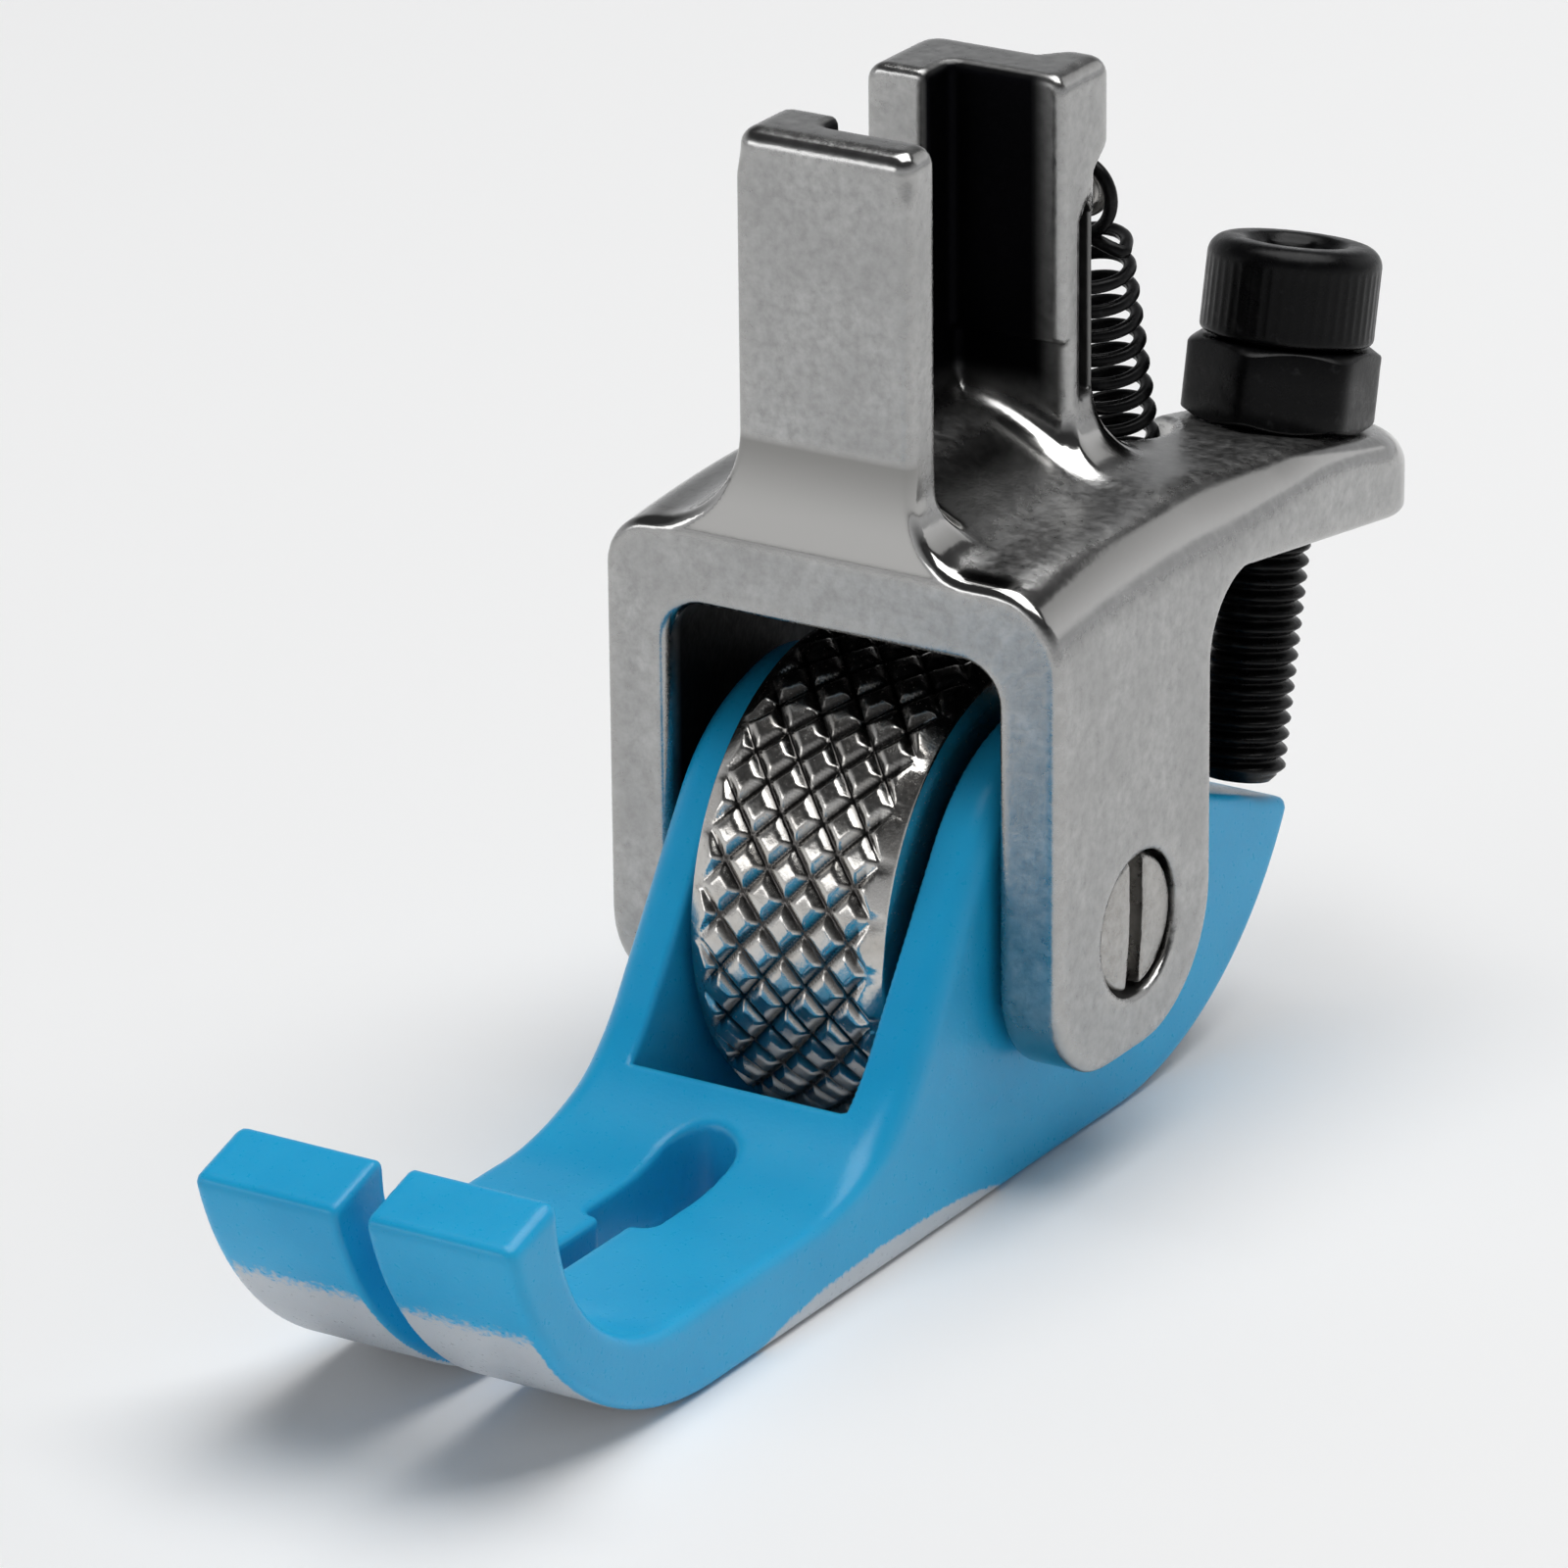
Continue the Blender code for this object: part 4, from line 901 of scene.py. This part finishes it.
def noise(tree, scale, detail=4.0, rough=0.55, stretch=(1.0, 1.0, 1.0)):
    """Noise over the object's own coordinates; scale is features per metre."""
    place = tree.nodes.new("ShaderNodeTexCoord")
    mapping = tree.nodes.new("ShaderNodeMapping")
    mapping.inputs["Scale"].default_value = stretch
    tree.links.new(place.outputs["Object"], mapping.inputs["Vector"])
    texture = tree.nodes.new("ShaderNodeTexNoise")
    texture.inputs["Scale"].default_value = scale
    texture.inputs["Detail"].default_value = detail
    texture.inputs["Roughness"].default_value = rough
    tree.links.new(mapping.outputs["Vector"], texture.inputs["Vector"])
    return texture.outputs["Fac"]


def attribute(tree, name):
    """Value painted on the mesh."""
    node = tree.nodes.new("ShaderNodeAttribute")
    node.attribute_name = name
    return node.outputs["Fac"]


def spread(tree, source, low, high, out_low, out_high):
    """Map a range of one value to another range."""
    node = tree.nodes.new("ShaderNodeMapRange")
    for socket, value in zip(("From Min", "From Max", "To Min", "To Max"), (low, high, out_low, out_high)):
        node.inputs[socket].default_value = value
    tree.links.new(source, node.inputs["Value"])
    return node.outputs["Result"]


def mix_colour(tree, share, first, second):
    """Blend from the first colour to the second."""
    node = tree.nodes.new("ShaderNodeMix")
    node.data_type = "RGBA"
    for index, value in ((6, first), (7, second)):
        if isinstance(value, bpy.types.NodeSocket):
            tree.links.new(value, node.inputs[index])
        else:
            node.inputs[index].default_value = (*value, 1.0)
    tree.links.new(share, node.inputs[0])
    return node.outputs[2]


def combine(tree, operation, first, second):
    """One arithmetic step on two values."""
    node = tree.nodes.new("ShaderNodeMath")
    node.operation = operation
    for index, value in enumerate((first, second)):
        if isinstance(value, bpy.types.NodeSocket):
            tree.links.new(value, node.inputs[index])
        else:
            node.inputs[index].default_value = value
    return node.outputs[0]


def bump(tree, shader, height, distance):
    """Fine relief; distance is its depth in metres."""
    node = tree.nodes.new("ShaderNodeBump")
    node.inputs["Distance"].default_value = distance
    node.inputs["Strength"].default_value = 1.0
    tree.links.new(height, node.inputs["Height"])
    tree.links.new(node.outputs["Normal"], shader.inputs["Normal"])


def casting_steel():
    """Polished casting: bright rounds and satin mottled flats, with painted shade that blackens the channel
    and the other hollows and darkens the flare's top.
    """
    material, tree, shader = new_material("cast_steel", (0.46, 0.46, 0.455), 0.2, 1.0)
    flat, hollow_shade = attribute(tree, "flat"), attribute(tree, "hollow_shade")
    mottle = noise(tree, 2600.0, 6.0, 0.62)
    cloud = noise(tree, 380.0, 3.0)
    bright = mix_colour(tree, spread(tree, mottle, 0.35, 0.7, 0.0, 1.0), (0.34, 0.34, 0.337),
                        (0.50, 0.50, 0.495))
    tinted = mix_colour(tree, spread(tree, cloud, 0.35, 0.65, 0.0, 0.45), bright, (0.32, 0.32, 0.317))
    # painted shade: the flare's polished colour darkens towards its top
    smooth = mix_colour(tree, attribute(tree, "flare"), (0.46, 0.455, 0.445), (0.25, 0.248, 0.24))
    polished = mix_colour(tree, flat, smooth, tinted)
    # painted shade: the hollows are mixed to near-black
    colour = mix_colour(tree, hollow_shade, polished, (0.004, 0.004, 0.005))
    tree.links.new(colour, shader.inputs["Base Color"])
    satin = combine(tree, "MULTIPLY", flat, spread(tree, mottle, 0.3, 0.7, 0.16, 0.30))
    rough = combine(tree, "ADD", satin, 0.11)
    rough = combine(tree, "ADD", rough, combine(tree, "MULTIPLY", hollow_shade, 0.25))
    tree.links.new(rough, shader.inputs["Roughness"])
    relief = combine(tree, "MULTIPLY", mottle, spread(tree, flat, 0.0, 1.0, 0.12, 1.0))
    bump(tree, shader, relief, 0.00002)
    return material


def blue_plastic():
    """Satin moulded plastic with a soft glow and very fine grain, and a pale painted floor reflection on its
    lower faces.
    """
    material, tree, shader = new_material("blue_plastic", (0.01, 0.26, 0.52), 0.3, 0.0)
    cloud = noise(tree, 220.0, 3.0)
    tint = mix_colour(tree, spread(tree, cloud, 0.3, 0.7, 0.0, 1.0), (0.010, 0.35, 0.65),
                      (0.018, 0.40, 0.71))
    grain = noise(tree, 5200.0, 4.0, 0.6)
    # painted reflection: pale colour on the floor-facing faces and along the lower edge
    ragged = combine(tree, "ADD", attribute(tree, "floor_reflection"), spread(tree, grain, 0.3, 0.7, -0.08, 0.08))
    reflection_mix = spread(tree, ragged, 0.44, 0.56, 0.0, 0.9)
    pale = mix_colour(tree, cloud, (0.50, 0.50, 0.52), (0.64, 0.65, 0.66))
    tree.links.new(mix_colour(tree, reflection_mix, tint, pale), shader.inputs["Base Color"])
    tree.links.new(spread(tree, grain, 0.3, 0.7, 0.26, 0.36), shader.inputs["Roughness"])
    shader.inputs["Specular IOR Level"].default_value = 0.35
    shader.inputs["Subsurface Weight"].default_value = 0.12
    shader.inputs["Subsurface Radius"].default_value = (0.25, 0.6, 1.0)
    shader.inputs["Subsurface Scale"].default_value = 0.0008
    bump(tree, shader, grain, 0.000008)
    return material


def bright_steel():
    """Knurled roller steel: bright with faint warm staining, and painted shade darkening the knurl's
    grooves.
    """
    material, tree, shader = new_material("roller_steel", (0.56, 0.545, 0.52), 0.22, 1.0)
    stain = noise(tree, 900.0, 5.0, 0.6)
    colour = mix_colour(tree, spread(tree, stain, 0.42, 0.72, 0.0, 0.6), (0.60, 0.585, 0.56),
                        (0.42, 0.39, 0.35))
    # painted shade: the knurl's grooves are darkened nearly to black
    colour = mix_colour(tree, attribute(tree, "groove"), colour, (0.045, 0.042, 0.040))
    tree.links.new(colour, shader.inputs["Base Color"])
    fine = noise(tree, 7000.0, 3.0)
    tree.links.new(spread(tree, fine, 0.3, 0.7, 0.14, 0.28), shader.inputs["Roughness"])
    bump(tree, shader, fine, 0.000006)
    return material


def turned_steel():
    """Small turned pieces with fine tool marks."""
    material, tree, shader = new_material("screw_steel", (0.42, 0.41, 0.39), 0.3, 1.0)
    marks = noise(tree, 2500.0, 5.0, 0.6)
    colour = mix_colour(tree, spread(tree, marks, 0.35, 0.7, 0.0, 1.0), (0.34, 0.33, 0.315),
                        (0.48, 0.47, 0.455))
    tree.links.new(colour, shader.inputs["Base Color"])
    tree.links.new(spread(tree, marks, 0.3, 0.7, 0.22, 0.38), shader.inputs["Roughness"])
    bump(tree, shader, marks, 0.00001)
    return material


def black_oxide():
    """Black finish on steel, slightly worn and oily."""
    material, tree, shader = new_material("black_oxide", (0.003, 0.003, 0.0035), 0.3, 0.0)
    shader.inputs["Specular IOR Level"].default_value = 0.16
    wear = noise(tree, 1900.0, 6.0, 0.65)
    colour = mix_colour(tree, spread(tree, wear, 0.58, 0.75, 0.0, 1.0), (0.002, 0.002, 0.0023),
                        (0.02, 0.02, 0.021))
    tree.links.new(colour, shader.inputs["Base Color"])
    tree.links.new(spread(tree, wear, 0.3, 0.7, 0.22, 0.4), shader.inputs["Roughness"])
    bump(tree, shader, wear, 0.000015)
    return material


def bronze():
    """Plain bearing bronze."""
    material, tree, shader = new_material("bearing_bronze", (0.45, 0.30, 0.14), 0.35, 1.0)
    grain = noise(tree, 3000.0, 4.0)
    tree.links.new(spread(tree, grain, 0.3, 0.7, 0.28, 0.42), shader.inputs["Roughness"])
    bump(tree, shader, grain, 0.00001)
    return material


# --- Studio --------------------------------------------------------------------------------------
def make_floor():
    """Pale seamless floor."""
    mesh = bpy.data.meshes.new("floor")
    corners = [(-1, -1), (1, -1), (1, 1), (-1, 1)]
    mesh.from_pydata([(FLOOR_REACH * x, FLOOR_REACH * y, 0.0) for x, y in corners], [], [(0, 1, 2, 3)])
    material, _, shader = new_material("floor_paint", (0.93, 0.93, 0.93), 0.6, 0.0)
    shader.inputs["Specular IOR Level"].default_value = 0.2
    mesh.materials.append(material)
    floor = bpy.data.objects.new("floor", mesh)
    floor.location.z = -FLOOR_DROP
    bpy.context.scene.collection.objects.link(floor)


def add_softbox(name, place, size, power):
    """Rectangular lamp that faces the part; metres and watts."""
    light = bpy.data.lights.new(name, "AREA")
    light.shape = "RECTANGLE"
    light.size, light.size_y = size
    light.energy = power
    lamp = bpy.data.objects.new(name, light)
    lamp.location = place
    lamp.rotation_mode = "QUATERNION"
    lamp.rotation_quaternion = (Vector(LAMP_TARGET) - Vector(place)).to_track_quat("-Z", "Y")
    bpy.context.scene.collection.objects.link(lamp)


def make_lights():
    """Broad light from above, a low key from the left front and a faint fill from behind."""
    add_softbox("overhead", (0.05, 0.10, 0.60), (0.55, 0.55), 3.7)
    add_softbox("left_key", (-0.30, -0.50, 0.17), (0.50, 0.14), 0.45)
    add_softbox("rear_fill", (0.26, 0.50, 0.30), (0.45, 0.30), 0.2)


def make_world():
    """Dim room, lighter towards the horizon."""
    world = bpy.data.worlds.new("studio")
    world.use_nodes = True
    tree = world.node_tree
    place = tree.nodes.new("ShaderNodeTexCoord")
    parts = tree.nodes.new("ShaderNodeSeparateXYZ")
    tree.links.new(place.outputs["Generated"], parts.inputs["Vector"])
    level = spread(tree, parts.outputs["Z"], 0.05, 0.6, 0.66, 0.05)
    tree.links.new(level, tree.nodes["Background"].inputs["Strength"])
    tree.nodes["Background"].inputs["Color"].default_value = (0.97, 0.98, 1.0, 1.0)
    bpy.context.scene.world = world
    bpy.context.scene.view_settings.view_transform = "Standard"


def make_camera():
    """Camera at the main viewing angle."""
    camera = bpy.data.cameras.new("camera")
    camera.sensor_width = 36.0
    camera.lens = CAMERA_LENS
    camera.clip_start, camera.clip_end = 0.01, 10.0
    view = bpy.data.objects.new("camera", camera)
    azimuth, elevation, roll = (math.radians(angle) for angle in CAMERA_ANGLES)
    back = Vector((math.sin(azimuth) * math.cos(elevation), -math.cos(azimuth) * math.cos(elevation),
                   math.sin(elevation)))
    view.location = ORIGIN + Vector(CAMERA_PLACE) * MM
    view.rotation_mode = "QUATERNION"
    level = (-back).to_track_quat("-Z", "Y").to_matrix().to_4x4()
    view.rotation_quaternion = (level @ Matrix.Rotation(roll, 4, "Z")).to_quaternion()
    bpy.context.scene.collection.objects.link(view)
    bpy.context.scene.camera = view


def main():
    steel, wheel, fastener, black = casting_steel(), bright_steel(), turned_steel(), black_oxide()
    make_yoke(steel)
    make_sole(blue_plastic())
    make_roller(wheel)
    make_bush(bronze())
    make_pivot_screw(fastener)
    make_adjusting_screw(black)
    make_lock_nut(black)
    make_spring(black)
    make_post(fastener)
    make_heel_pin(fastener)
    make_floor()
    make_lights()
    make_world()
    make_camera()


main()
